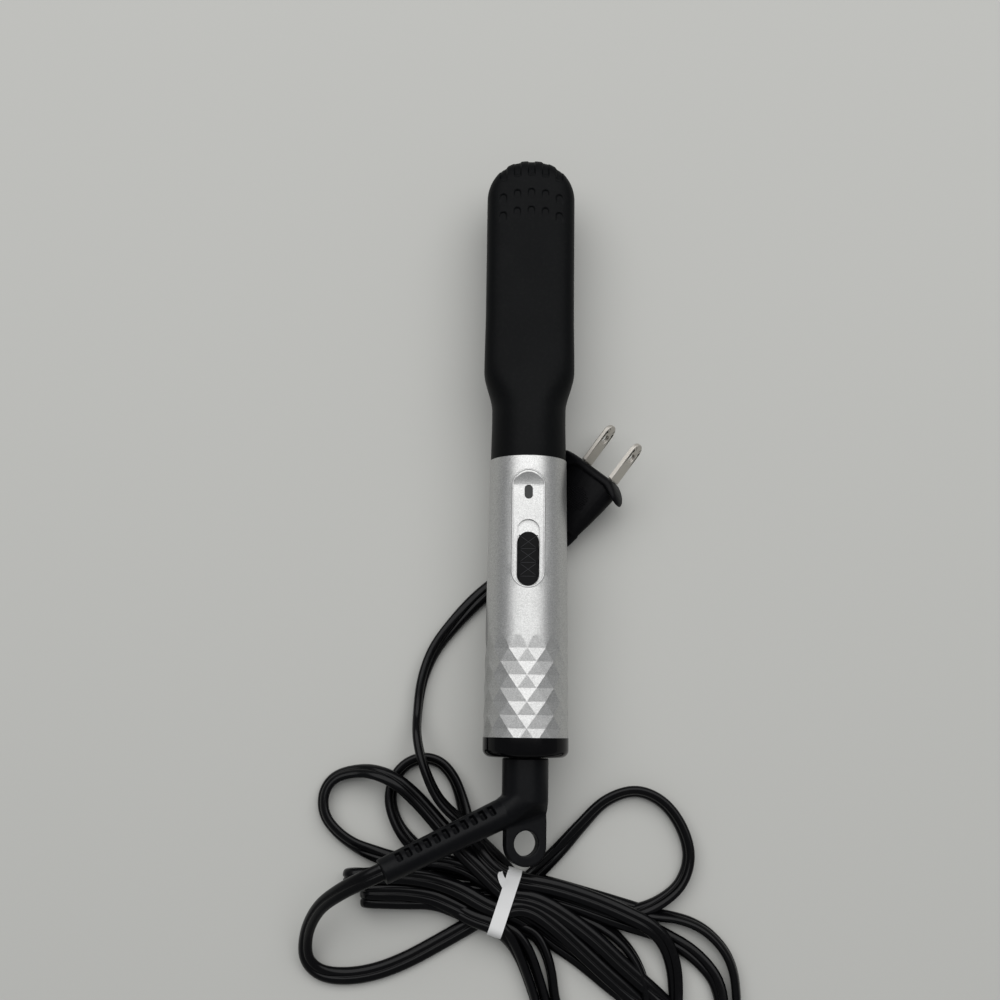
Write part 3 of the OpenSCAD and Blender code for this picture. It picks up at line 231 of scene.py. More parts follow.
fan_inner = [
    (2, -149.4, 5.3, 0), (10, -151.3, 5, 0), (20, -154.2, 4.8, 0), (30, -157.6, 4.4, 0),
    (39, -160.4, 3.6, 0), (45, -162.2, 2.8, 0), (50, -164.8, 2.2, 5), (55.2, -167.6, 2.2, 10),
    (60.2, -171.6, 2.4, 20), (64.6, -176.8, 2.8, 35), (66.5, -182, 3, 45), (67, -188, 3, 65),
    (65.4, -195, 3, 80), (60, -200.3, 3, 88), (52.5, -201, 3, 88), (45.8, -197, 3, 88),
    (42.6, -190.5, 3, 85), (41.9, -184, 3, 82), (41, -178.5, 3, 80), (39.4, -174, 3, 78),
    (36.8, -169.4, 3, 74), (33, -165, 3, 68), (28, -161, 3, 55), (20.5, -156.8, 2.6, 35),
    (12, -152.6, 3, 15), (4, -148.4, 4, 5),
]
fan_outer = [
    (1, -145.8, 8, 0), (9, -147.2, 7.6, 0), (17.5, -149.5, 7.2, 0), (27.5, -153, 6.8, 0),
    (35.5, -156.4, 6.6, 0), (42, -159.6, 6.2, 5), (46.8, -163.8, 5.2, 15), (49.6, -169, 4.2, 25),
    (51.2, -175.5, 3.3, 35), (51.6, -181.5, 2.9, 45), (52, -187.5, 3, 65), (54.3, -193.6, 3, 82),
    (59.2, -197, 3, 88), (65, -196.6, 3, 88), (69.9, -193, 3, 85), (71.9, -187, 3, 80), (71.8, -180, 3, 78),
    (71, -174.6, 3, 77), (69, -169.4, 3, 76), (65.5, -164.8, 3, 75), (61, -161, 3, 74), (56, -158.6, 3, 72),
    (50.4, -157.2, 3, 70), (44, -156.4, 2.6, 55), (35, -154.4, 1.8, 20), (24, -151.4, 1.6, 0),
    (12, -148.2, 1.6, 0), (4, -146.2, 1.8, 0),
]
route = [
    *lead_from_boot, *loop_right, slot(1, "low"), *fold_near, slot(3, "low"), *fan_low, slot(2, "mid"),
    *fold_middle, slot(3, "mid"), *fan_middle, slot(2, "top"), *fold_far, slot(3, "top"), *fan_wide,
    slot(1, "top"), *loop_left, slot(1, "mid"), *fan_inner, slot(0, "mid"), *loop_upper, slot(0, "top"),
    *fan_outer, slot(0, "low"), *lead_to_plug,
]
print(len(route), "route points")

# %% [markdown]
# ## From points to a cord
# A centripetal Catmull-Rom curve goes through every point and never loops back on itself between close
# ones. It is cut into equal steps, and a short running average takes out the last kinks. The flat section
# then follows it: its side direction stays level and turns with the tilt, and where the cord folds straight
# down, the direction of the step before is carried on so that the section never flips.

# %% Smooth centreline
STEP_MM = 1.3
SMOOTH_PASSES = 3


def catmull_rom(points, per_span=24):
    """A centripetal Catmull-Rom curve through the given points; extra columns are blended along."""
    p = np.asarray(points, float)
    p = np.vstack([2 * p[0] - p[1], p, 2 * p[-1] - p[-2]])
    out = []
    for a, b, c, d in zip(p[:-3], p[1:-2], p[2:-1], p[3:]):
        knots = [0.0]
        for u, v in ((a, b), (b, c), (c, d)):
            knots.append(knots[-1] + max(np.linalg.norm(v[:3] - u[:3]), 1e-6) ** 0.5)
        t0, t1, t2, t3 = knots
        for t in np.linspace(t1, t2, per_span, endpoint=False):
            a1 = a * (t1 - t) / (t1 - t0) + b * (t - t0) / (t1 - t0)
            a2 = b * (t2 - t) / (t2 - t1) + c * (t - t1) / (t2 - t1)
            a3 = c * (t3 - t) / (t3 - t2) + d * (t - t2) / (t3 - t2)
            b1 = a1 * (t2 - t) / (t2 - t0) + a2 * (t - t0) / (t2 - t0)
            b2 = a2 * (t3 - t) / (t3 - t1) + a3 * (t - t1) / (t3 - t1)
            out.append(b1 * (t2 - t) / (t2 - t1) + b2 * (t - t1) / (t2 - t1))
    out.append(p[-2])
    return np.array(out)


def equal_steps(line, step):
    length = np.concatenate([[0], np.cumsum(np.linalg.norm(np.diff(line[:, :3], axis=0), axis=1))])
    places = np.linspace(0, length[-1], int(round(length[-1] / step)) + 1)
    return np.column_stack([np.interp(places, length, line[:, k]) for k in range(line.shape[1])])


def relaxed(line, passes):
    for _ in range(passes):
        line[1:-1] = (line[:-2] + 2 * line[1:-1] + line[2:]) / 4
    return line


centreline = equal_steps(relaxed(equal_steps(catmull_rom(route), STEP_MM), SMOOTH_PASSES), STEP_MM)
cord_length = float(np.linalg.norm(np.diff(centreline[:, :3], axis=0), axis=1).sum()) * MM
print("cord centreline", round(cord_length, 3), "m in", len(centreline), "points")

# %% [markdown]
# The cord is two insulated cores side by side, so its section is a flat oval with a groove above and below.
# A curve object with this outline as its bevel would do on gentle bends, but it twists at steep folds.
# Placing each ring along the line keeps the tilt in hand.

# %% Flat twin section and its sweep
GROOVE_DEPTH = 0.42
GROOVE_HALF_W = 0.42
SECTION_STOPS = [0, 0.05, 0.11, 0.18, 0.28, 0.42, 0.58, 0.74, 0.87, 0.96, 1]


def flat_section(width, thickness):
    """Outline of the flat twin cord: two cores side by side, with a groove between them above and below."""
    stops = [-s for s in reversed(SECTION_STOPS[1:])] + SECTION_STOPS
    top = []
    for s in stops:
        x = s * width / 2
        rise = thickness / 2 * (1 - abs(s) ** 3.2) ** 0.55
        top.append((x, rise - GROOVE_DEPTH * math.exp(-((x / GROOVE_HALF_W) ** 2))))
    return top + [(x, -z) for x, z in reversed(top[1:-1])]


def sweep(line, section):
    """Rings of the section along the line; column 3 of the line is the tilt in degrees."""
    ahead = np.gradient(line[:, :3], axis=0)
    ahead /= np.linalg.norm(ahead, axis=1)[:, None]
    rings = []
    side = np.cross((0, 0, 1), ahead[0])
    for place, way in zip(line, ahead):
        level = np.cross((0, 0, 1), way)
        carried = side - way * side.dot(way)
        if level.dot(carried) < 0:
            level = -level
        steep = 1 - min(1, np.linalg.norm(level) / 0.5)
        side = level * (1 - steep) + carried * steep
        side /= np.linalg.norm(side)
        up = np.cross(way, side)
        tilt = math.radians(place[3])
        broad = side * math.cos(tilt) + up * math.sin(tilt)
        thin = up * math.cos(tilt) - side * math.sin(tilt)
        rings.append([place[:3] + broad * x + thin * z for x, z in section])
    return rings


cord = outward(skin_rings("cord", sweep(centreline, flat_section(CORD_W, CORD_T))))
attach(cord, "cord_swivel")
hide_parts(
    "cord_lead", "cord_loop_left", "cord_loop_upper", "cord_loop_right", "cord_plug_lead",
    "cord_hank_left", "cord_hank_right",
)
print("cord mesh", len(cord.data.vertices), "points")

# %% [markdown]
# The real cord is limp, so anyone who moves the part needs its length, its line and the pieces that travel
# with it.

# %% [markdown]
# ## The picture's floor and light
# The tool lies on a pale grey table top. In the photograph the sleeve's crown is bright and both its sides
# are dark, and the grip's facets that lean forwards are the bright ones. So one very large soft light hangs
# above and in front of the tool, and the room itself adds a weaker, even light. Its size is what makes the
# shadows close and soft.

# %% Node helpers
def node_group(name, inputs, outputs):
    """An empty shader group with float or colour sockets; inputs carry their starting value."""
    group = bpy.data.node_groups.new(name, "ShaderNodeTree")
    for label, start in inputs.items():
        socket = group.interface.new_socket(label, in_out="INPUT", socket_type="NodeSocketFloat")
        socket.default_value = start
    for label, kind in outputs.items():
        group.interface.new_socket(label, in_out="OUTPUT", socket_type=kind)
    return group, group.nodes.new("NodeGroupInput"), group.nodes.new("NodeGroupOutput")


def add_node(tree, kind, values=None, **settings):
    """A node with its settings, its socket values by name or number, and its links from other sockets."""
    node = tree.nodes.new(kind)
    for key, value in settings.items():
        setattr(node, key, value)
    for key, value in (values or {}).items():
        if isinstance(value, bpy.types.NodeSocket):
            tree.links.new(value, node.inputs[key])
        else:
            node.inputs[key].default_value = value
    return node


def maths(tree, operation, *values):
    return add_node(tree, "ShaderNodeMath", dict(enumerate(values)), operation=operation).outputs[0]


def remap(tree, value, to_low, to_high, from_low=0.0, from_high=1.0):
    sockets = {"Value": value, "From Min": from_low, "From Max": from_high}
    sockets |= {"To Min": to_low, "To Max": to_high}
    return add_node(tree, "ShaderNodeMapRange", sockets).outputs[0]


def new_material(name):
    """A material with nodes, its tree and its shader."""
    material = bpy.data.materials.new(name)
    material.use_nodes = True
    return material, material.node_tree, material.node_tree.nodes["Principled BSDF"]


def blend(tree, factor, low, high):
    """The colour between two others; each is a value or another node's socket."""
    sockets = {0: factor, "A": low, "B": high}
    return add_node(tree, "ShaderNodeMix", sockets, data_type="RGBA").outputs["Result"]


# %% [markdown]
# The floor is a plain sheet with faint patches. The lamp is one large rectangle, and the room is an even
# colour.

# %% Floor and lights
FLOOR_HALF = 1.5
FLOOR_COLOUR = (0.50, 0.50, 0.475, 1)
FLOOR_PATCHES, FLOOR_PALER, FLOOR_ROUGHNESS = 3.0, 1.05, 0.6
ROOM_COLOUR, ROOM_STRENGTH = (0.95, 0.97, 1, 1), 0.26
LAMP_PLACE, LAMP_AIM = (0.0, 0.67, 1.41), (0, -0.05, 0)
LAMP_SIZE, LAMP_WATTS = (3.1, 1.7), 32.5

floor_corners = [(x * FLOOR_HALF, y * FLOOR_HALF, 0) for x, y in ((-1, -1), (1, -1), (1, 1), (-1, 1))]
floor = make_object("floor", floor_corners, [(0, 1, 2, 3)], smooth=False)
floor_material, tree, shader = new_material("table top")
patches = add_node(tree, "ShaderNodeTexNoise", {"Scale": FLOOR_PATCHES, "Detail": 2.0})
paler = [c * FLOOR_PALER for c in FLOOR_COLOUR[:3]] + [1]
tree.links.new(blend(tree, patches.outputs["Fac"], FLOOR_COLOUR, paler), shader.inputs["Base Color"])
shader.inputs["Roughness"].default_value = FLOOR_ROUGHNESS
floor.data.materials.append(floor_material)

world = bpy.data.worlds.new("room")
world.use_nodes = True
background = world.node_tree.nodes["Background"]
background.inputs["Color"].default_value = ROOM_COLOUR
background.inputs["Strength"].default_value = ROOM_STRENGTH
bpy.context.scene.world = world


def soft_box(name, place, aim, size, watts):
    """A rectangular lamp at a place, turned to its aim."""
    lamp = bpy.data.lights.new(name, "AREA")
    lamp.shape = "RECTANGLE"
    lamp.size, lamp.size_y = size
    lamp.energy = watts
    holder = bpy.data.objects.new(name, lamp)
    holder.location = place
    holder.rotation_euler = (Vector(aim) - Vector(place)).to_track_quat("-Z", "Y").to_euler()
    bpy.context.scene.collection.objects.link(holder)


soft_box("ceiling light", LAMP_PLACE, LAMP_AIM, LAMP_SIZE, LAMP_WATTS)
bpy.context.scene.view_settings.view_transform = "Standard"
print("floor and one large lamp")

# %% [markdown]
# ## Effects that several finishes share
# Moulded plastic and rubber are never mirror smooth: the mould leaves a fine grain, and handling leaves
# patches that shine a little more. Silver paint holds tiny flakes, each lying at its own angle. Each effect
# is a node group with its own inputs, so that every material can set its scale and strength. All of them
# use object coordinates in metres.

# %% Grain of a moulded surface
def build_grain_group():
    group, start, end = node_group(
        "moulded grain", {"Grain Size": 0.0004, "Patch Size": 0.02, "Rough Low": 0.4, "Rough High": 0.5},
        {"Height": "NodeSocketFloat", "Roughness": "NodeSocketFloat"},
    )
    place = add_node(group, "ShaderNodeTexCoord").outputs["Object"]
    per_grain = maths(group, "DIVIDE", 1.0, start.outputs["Grain Size"])
    per_patch = maths(group, "DIVIDE", 1.0, start.outputs["Patch Size"])
    fine = {"Vector": place, "Scale": per_grain, "Detail": 3.0, "Roughness": 0.6}
    grain = add_node(group, "ShaderNodeTexNoise", fine)
    patch = add_node(group, "ShaderNodeTexNoise", {"Vector": place, "Scale": per_patch, "Detail": 4.0})
    wide = remap(group, patch.outputs["Fac"], 0.0, 1.0, 0.3, 0.7)
    span = maths(group, "SUBTRACT", start.outputs["Rough High"], start.outputs["Rough Low"])
    rough = maths(group, "MULTIPLY_ADD", wide, span, start.outputs["Rough Low"])
    group.links.new(grain.outputs["Fac"], end.inputs["Height"])
    group.links.new(rough, end.inputs["Roughness"])
    return group


GRAIN = build_grain_group()
print(GRAIN.name, "group")

# %% [markdown]
# Flakes are cells of random shade, about as wide as the glints in real silver paint. Brushed lines are noise
# that is stretched along one direction, as drawing or rolling leaves them.

# %% Metal flakes under clear paint, and brushed lines
def build_flake_group():
    group, start, end = node_group(
        "metal flakes", {"Flake Size": 0.0001, "Spread": 0.2},
        {"Shade": "NodeSocketFloat", "Height": "NodeSocketFloat"},
    )
    place = add_node(group, "ShaderNodeTexCoord").outputs["Object"]
    per_flake = maths(group, "DIVIDE", 1.0, start.outputs["Flake Size"])
    cells = add_node(group, "ShaderNodeTexVoronoi", {"Vector": place, "Scale": per_flake})
    one = add_node(group, "ShaderNodeSeparateColor", {"Color": cells.outputs["Color"]}).outputs[0]
    low = maths(group, "SUBTRACT", 1.0, start.outputs["Spread"])
    group.links.new(maths(group, "MULTIPLY_ADD", one, start.outputs["Spread"], low), end.inputs["Shade"])
    group.links.new(one, end.inputs["Height"])
    return group


def build_brushed_group():
    group, start, end = node_group(
        "brushed lines", {"Line Size": 0.0002, "Rough Low": 0.25, "Rough High": 0.4},
        {"Height": "NodeSocketFloat", "Roughness": "NodeSocketFloat"},
    )
    place = add_node(group, "ShaderNodeTexCoord").outputs["Object"]
    stretch = add_node(group, "ShaderNodeMapping", {"Vector": place, "Scale": (1.0, 0.05, 1.0)})
    per_line = maths(group, "DIVIDE", 1.0, start.outputs["Line Size"])
    drawn = {"Vector": stretch.outputs[0], "Scale": per_line, "Detail": 2.0}
    lines = add_node(group, "ShaderNodeTexNoise", drawn)
    span = maths(group, "SUBTRACT", start.outputs["Rough High"], start.outputs["Rough Low"])
    rough = maths(group, "MULTIPLY_ADD", lines.outputs["Fac"], span, start.outputs["Rough Low"])
    group.links.new(lines.outputs["Fac"], end.inputs["Height"])
    group.links.new(rough, end.inputs["Roughness"])
    return group


FLAKES = build_flake_group()
BRUSHED = build_brushed_group()
print(FLAKES.name, "and", BRUSHED.name, "groups")

# %% [markdown]
# Dust settles on what faces up, so its noise is weighted by the surface's upward direction.

# %% Dust and lint that settle on dark surfaces
LIES_FROM, SPECK_FROM, SPECK_FULL = 0.2, 0.48, 0.8


def build_dust_group():
    group, start, end = node_group(
        "settled dust", {"Speck Size": 0.0012, "Amount": 0.08}, {"Mask": "NodeSocketFloat"},
    )
    place = add_node(group, "ShaderNodeTexCoord").outputs["Object"]
    per_speck = maths(group, "DIVIDE", 1.0, start.outputs["Speck Size"])
    rough = {"Vector": place, "Scale": per_speck, "Detail": 6.0, "Roughness": 0.7}
    specks = add_node(group, "ShaderNodeTexNoise", rough)
    normal = add_node(group, "ShaderNodeNewGeometry").outputs["Normal"]
    facing_up = add_node(group, "ShaderNodeSeparateXYZ", {0: normal})
    lying = remap(group, facing_up.outputs["Z"], 0.0, 1.0, LIES_FROM, 1.0)
    spots = remap(group, specks.outputs["Fac"], 0.0, 1.0, SPECK_FROM, SPECK_FULL)
    weighted = maths(group, "MULTIPLY", maths(group, "MULTIPLY", spots, lying), start.outputs["Amount"])
    group.links.new(weighted, end.inputs["Mask"])
    return group


DUST = build_dust_group()
print(DUST.name, "group")

# %% [markdown]
# ## The finishes
# Each material is one small function call: a base colour, a roughness that drifts between two values, and a
# bump from its own grain. Constants such as metalness and specular level sit on the shader itself.

# %% Material makers
DUST_COLOUR = (0.16, 0.155, 0.145, 1)
LINE_DEPTH, LINE_SHADE = 0.000004, 0.85
FLAKE_SIZE, FLAKE_SPREAD, FLAKE_DEPTH = 0.00018, 0.4, 0.000006
FLAKE_DARK, FLAKE_METALLIC = (0.08, 0.08, 0.08, 1), 0.92
PAINT_GRAIN, PAINT_DEPTH = 0.0006, 0.000005


def use_group(tree, group, **values):
    node = tree.nodes.new("ShaderNodeGroup")
    node.node_tree = group
    for key, value in values.items():
        node.inputs[key.replace("_", " ")].default_value = value
    return node


def bump(tree, height, depth, normal=None):
    sockets = {"Height": height, "Distance": depth, "Strength": 1.0}
    if normal is not None:
        sockets["Normal"] = normal
    return add_node(tree, "ShaderNodeBump", sockets).outputs[0]


def dress(tree, shader, colour, surface, normal):
    """Links a finish to its shader: colour, the roughness of its surface group, and bump."""
    tree.links.new(colour, shader.inputs["Base Color"])
    tree.links.new(surface.outputs["Roughness"], shader.inputs["Roughness"])
    tree.links.new(normal, shader.inputs["Normal"])


def moulded(name, colour, rough, grain=0.0004, depth=0.00001, dust=0.02, specular=0.5):
    """Plastic or rubber out of a mould, with its grain and a little dust."""
    material, tree, shader = new_material(name)
    surface = use_group(tree, GRAIN, Grain_Size=grain, Rough_Low=rough[0], Rough_High=rough[1])
    settled = use_group(tree, DUST, Amount=dust)
    dusty = blend(tree, settled.outputs["Mask"], (*colour, 1), DUST_COLOUR)
    dress(tree, shader, dusty, surface, bump(tree, surface.outputs["Height"], depth))
    shader.inputs["Specular IOR Level"].default_value = specular
    return material


def bare_metal(name, colour, rough, line=0.0002):
    """Metal with the fine lines that drawing, stamping or plating leaves."""
    material, tree, shader = new_material(name)
    surface = use_group(tree, BRUSHED, Line_Size=line, Rough_Low=rough[0], Rough_High=rough[1])
    darker = [c * LINE_SHADE for c in colour] + [1]
    tone = blend(tree, surface.outputs["Height"], darker, (*colour, 1))
    dress(tree, shader, tone, surface, bump(tree, surface.outputs["Height"], LINE_DEPTH))
    shader.inputs["Metallic"].default_value = 1.0
    return material


def silver_paint(name, colour, rough):
    """Silver paint on plastic: flakes of different shade, each tipped a little, below a satin surface."""
    material, tree, shader = new_material(name)
    flakes = use_group(tree, FLAKES, Flake_Size=FLAKE_SIZE, Spread=FLAKE_SPREAD)
    surface = use_group(tree, GRAIN, Grain_Size=PAINT_GRAIN, Rough_Low=rough[0], Rough_High=rough[1])
    tone = blend(tree, flakes.outputs["Shade"], FLAKE_DARK, (*colour, 1))
    tipped = bump(tree, flakes.outputs["Height"], FLAKE_DEPTH)
    dress(tree, shader, tone, surface, bump(tree, surface.outputs["Height"], PAINT_DEPTH, tipped))
    shader.inputs["Metallic"].default_value = FLAKE_METALLIC
    return material


# %% [markdown]
# The button is black plastic, and its raised lines are coloured lighter: a painted highlight where they catch
# the light. A mask by height over the crown finds them, so they need no material of their own and no image
# texture.

# %% The slide button's finish
BUTTON_W, BUTTON_TOP_Z, BUTTON_CROWN = 7.3, 31.8, 0.7
PAINTED_HIGHLIGHT_FROM, PAINTED_HIGHLIGHT_FULL = 0.03, 0.12


def painted_highlight_button(name, colour, highlight_colour):
    """Black plastic on which whatever stands above the plain crown takes a lighter colour, a painted
    highlight.
    """
    material = moulded(name, colour, (0.3, 0.4), depth=0.000008, specular=0.08)
    tree = material.node_tree
    coordinates = add_node(tree, "ShaderNodeTexCoord").outputs["Object"]
    place = add_node(tree, "ShaderNodeSeparateXYZ", {0: coordinates})
    fall = BUTTON_CROWN / (BUTTON_W / 2) ** 2 / MM
    squared = maths(tree, "MULTIPLY", place.outputs["X"], place.outputs["X"])
    over_crown = maths(tree, "MULTIPLY_ADD", squared, fall, place.outputs["Z"])
    top = BUTTON_TOP_Z * MM
    # painted highlight: the raised lines above the crown get the lighter colour
    painted_highlight_mask = remap(tree, over_crown, 0.0, 1.0, top + PAINTED_HIGHLIGHT_FROM * MM, top + PAINTED_HIGHLIGHT_FULL * MM)
    base = tree.nodes["Principled BSDF"].inputs["Base Color"]
    tree.links.new(blend(tree, painted_highlight_mask, base.links[0].from_socket, (*highlight_colour, 1)), base)
    return material


# %% [markdown]
# Every material slot of the record gets one finish, also the pieces inside, so that an opened tool looks
# right too.

# %% The object's own finishes
FINISH = {
    "head_black": moulded(
        "head shell, matte black", (0.0035, 0.0038, 0.0042), (0.42, 0.52),
        grain=0.0005, depth=0.000012, specular=0.06,
    ),
    "heated_plate": bare_metal("heated plate, dark anodised", (0.20, 0.20, 0.21), (0.35, 0.5)),
    "guard_black": moulded("comb guard, satin nylon", (0.005, 0.005, 0.006), (0.35, 0.45), specular=0.15),
    "ceramic": moulded("heater ceramic", (0.72, 0.70, 0.64), (0.6, 0.8), grain=0.0003, dust=0.0),
    "insulation_film": moulded("insulation film", (0.50, 0.24, 0.04), (0.2, 0.3), dust=0.0),
    "spring_steel": bare_metal("spring steel", (0.52, 0.52, 0.53), (0.25, 0.4)),
    "cutout_metal": bare_metal("cut-out can", (0.66, 0.66, 0.67), (0.2, 0.35)),
    "sensor_bead": moulded("sensor bead", (0.03, 0.12, 0.06), (0.2, 0.3), dust=0.0),
    "screw_steel": bare_metal("screw steel", (0.50, 0.50, 0.51), (0.25, 0.4)),
    "silver_shell": silver_paint("silver sleeve paint", (0.64, 0.64, 0.63), (0.38, 0.44)),
    "smoked_lens": moulded(
        "smoked lamp lens", (0.026, 0.027, 0.026), (0.12, 0.2),
        grain=0.0006, depth=0.000002, dust=0.0, specular=0.22,
    ),
    "lamp_red": moulded("lamp diode", (0.45, 0.03, 0.02), (0.15, 0.25), dust=0.0),
    "board_green": moulded("circuit board", (0.03, 0.16, 0.06), (0.3, 0.45), dust=0.0),
    "switch_grey": moulded("switch housing", (0.10, 0.10, 0.11), (0.4, 0.5), dust=0.0),
    "wire_red": moulded("red wire", (0.40, 0.03, 0.02), (0.3, 0.4), dust=0.0),
    "wire_black": moulded("black wire", (0.02, 0.02, 0.02), (0.3, 0.4), dust=0.0),
    "contact_plastic": moulded("contact carrier", (0.62, 0.60, 0.53), (0.4, 0.55), dust=0.0),
    "contact_bronze": bare_metal("contact bronze", (0.62, 0.38, 0.17), (0.2, 0.35)),
    "cap_black": moulded(
        "end cap, gloss black", (0.002, 0.002, 0.0024), (0.08, 0.13),
        grain=0.0008, depth=0.000002, dust=0.01, specular=0.12,
    ),
    "lever_plastic": moulded("switch lever", (0.70, 0.69, 0.64), (0.4, 0.5), dust=0.0),
    # the carriage lies in a recess: its silver is painted a little lighter than the sleeve's, against the
    # shade there
    "carriage_silver": silver_paint("button carriage, lightened against recess shade", (0.66, 0.66, 0.65), (0.34, 0.4)),
    # the button's second colour is a painted highlight on its raised lines
    "button_black": painted_highlight_button("slide button", (0.0028, 0.0028, 0.0032), (0.035, 0.035, 0.037)),
    "contact_brass": bare_metal("slip ring brass", (0.75, 0.55, 0.22), (0.2, 0.3)),
    "boot_rubber": moulded(
        "boot rubber", (0.0035, 0.0037, 0.0045), (0.34, 0.44), grain=0.0005, specular=0.10,
    ),
    "cord_pvc": moulded(
        "cord jacket", (0.0018, 0.0018, 0.0022), (0.16, 0.24),
        grain=0.0006, depth=0.000005, specular=0.16,
    ),
    "tie_white": moulded(
        "white tie strip", (0.76, 0.76, 0.755), (0.4, 0.5),
        grain=0.0005, depth=0.000012, dust=0.0, specular=0.3,
    ),
    "plug_pvc": moulded(
        "plug moulding", (0.002, 0.002, 0.0026), (0.4, 0.48),
        grain=0.0005, depth=0.000006, specular=0.1,
    ),
    "blade_metal": bare_metal("nickel blades", (0.64, 0.61, 0.56), (0.5, 0.62), line=0.00015),
}
slot_of = {s["node"]: s["material_slot"] for s in frame["record"]["subparts"]}
for name, node in frame["nodes"].items():
    node.data.materials.clear()
    node.data.materials.append(FINISH[slot_of[name]])
cord.data.materials.append(FINISH["cord_pvc"])
print(len(FINISH), "finishes on", len(frame["nodes"]), "construction nodes")

# %% [markdown]
# ## Copies of exact parts with soft edges
# The cap, lens, comb, carriage and blades have the right shape in the construction model, but every edge
# there is a knife edge. A mould always leaves a small radius, and that radius is what catches the light. So
# each of them is copied, its loose corners are welded, and the Bevel modifier rounds each sharp edge by
# less than half a millimetre.

# %% Soft copies
SHARP = math.radians(28)
body_of = {node: body for body, nodes in frame["record"]["behaviour"]["bodies"].items() for node in nodes}


def stand_in(piece, node):
    """Makes a piece take a construction node's place, body and finish."""
    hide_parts(node)
    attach(piece, body_of[node])
    piece.data.materials.clear()
    piece.data.materials.append(FINISH[slot_of[node]])
    return piece


def welded_copy(node):
    """A copy of a node's mesh with its corners joined, as a bmesh."""
    work = bmesh.new()
    work.from_mesh(frame["nodes"][node].data)
    bmesh.ops.remove_doubles(work, verts=work.verts, dist=4e-6)
    bmesh.ops.dissolve_degenerate(work, edges=work.edges, dist=1e-6)
    return work


def finish_copy(work, name):
    mesh = bpy.data.meshes.new(name)
    work.to_mesh(mesh)
    work.free()
    piece = bpy.data.objects.new(name, mesh)
    bpy.context.scene.collection.objects.link(piece)
    return piece


def only_sharp(edge, angle):
    """How strongly an edge is rounded: here every sharp edge fully, and no other."""
    return 1.0 if angle > SHARP else 0.0


def soften(piece, width_mm, strength=only_sharp, segments=2):
    """Marks edges by a rule and rounds them with the Bevel modifier."""
    work = bmesh.new()
    work.from_mesh(piece.data)
    layers = work.edges.layers.float
    weight = layers.get("bevel_weight_edge") or layers.new("bevel_weight_edge")
    for face in work.faces:
        face.smooth = True
    for edge in work.edges:
        edge[weight] = strength(edge, edge.calc_face_angle(0))
        edge.smooth = edge[weight] == 0
    work.to_mesh(piece.data)
    work.free()
    bevel = piece.modifiers.new("soft edges", "BEVEL")
    bevel.width = width_mm * MM
    bevel.segments = segments
    bevel.limit_method = "WEIGHT"
    bevel.use_clamp_overlap = True
    bevel.harden_normals = True
    return piece


EDGE_MM = {
    "end_cap": 0.15, "lamp_lens": 0.12, "comb_guard": 0.08, "heater_plate": 0.06, "button_carriage": 0.25,
    "plug_blades": 0.42,
}
EDGE_STEPS = {"plug_blades": 3}
for name, width in EDGE_MM.items():
    copy = finish_copy(welded_copy(name), f"{name}_soft")
    stand_in(soften(copy, width, segments=EDGE_STEPS.get(name, 2)), name)
print(len(EDGE_MM), "soft copies")

# %% [markdown]
# ## The head's two shells
# The head is one smooth moulding that changes from a round neck to a flat, wide oval. Its sections are
# superellipses: the power is 2 for a circle and grows to 3.3 for a boxier oval. A dense grid of such
# sections makes the skin, so that the shallow grip dimples at the tip can be pressed into it point by
# point, deep at their front and fading backwards.

# %% Head sections
JOINT_Y, TIP_Y, AXIS_Z = -4.1, 103.7, 18.5
NECK_LEN, FLARE_LEN, SETTLE_LEN, TIP_LEN = 17.5, 14, 22, 14.3
JOINT_D, NECK_D, SHOULDER_W, HEAD_W = 25.8, 25.4, 31.3, 30.8
BACK_H, FACE_H, WALL, SEAM_GAP = 9, 6.5, 1.8, 0.15
WINDOW_W, WINDOW_LEN, WINDOW_GAP = 19.6, 64, 10.5
NECK_SETTLE, BACK_EARLY, BACK_LONGER = 4, 6, 16
FACE_FROM, FACE_SPAN = 0.4, 0.58
OVAL_POWER, POWER_LONGER, ARC_SAMPLES = 3.3, 6, 721
HEAD_LEN = TIP_Y - JOINT_Y
TIP_S = HEAD_LEN - TIP_LEN


def mix(a, b, t):
    return a + (b - a) * t


def smooth(t):
    t = min(max(t, 0), 1)
    return t * t * (3 - 2 * t)


def half_width(s):
    if s < NECK_LEN:
        return mix(JOINT_D, NECK_D, smooth(s / (NECK_LEN - NECK_SETTLE))) / 2
    if s < NECK_LEN + FLARE_LEN:
        return mix(NECK_D, SHOULDER_W, smooth((s - NECK_LEN) / FLARE_LEN)) / 2
    return mix(SHOULDER_W, HEAD_W, smooth((s - NECK_LEN - FLARE_LEN) / SETTLE_LEN)) / 2


def half_height(s, side):
    neck = half_width(min(s, NECK_LEN))
    if side > 0:
        return mix(neck, BACK_H, smooth((s - NECK_LEN + BACK_EARLY) / (FLARE_LEN + BACK_LONGER)))
    before_window = HEAD_LEN - WINDOW_GAP - WINDOW_LEN
    return mix(neck, FACE_H, smooth((s / before_window - FACE_FROM) / FACE_SPAN))


def head_arc(s, y, w, h, side, count):
    """Half a superellipse from +X over the top or under the bottom to -X, in even steps along its length."""
    power = 2 / mix(2, OVAL_POWER, smooth((s - NECK_LEN) / (FLARE_LEN + POWER_LONGER)))
    turn = np.linspace(0, math.pi, ARC_SAMPLES)
    cos, sin = np.cos(turn), np.sin(turn)
    x = w * np.sign(cos) * np.abs(cos) ** power
    z = h * np.abs(sin) ** power
    far = np.concatenate([[0], np.cumsum(np.hypot(np.diff(x), np.diff(z)))])
    even = np.linspace(0, far[-1], count)
    x, z = np.interp(even, far, x), np.interp(even, far, z)
    floor_gap = 0 if side > 0 else SEAM_GAP
    return np.column_stack([x, np.full(count, y), AXIS_Z + side * np.maximum(z, floor_gap)])


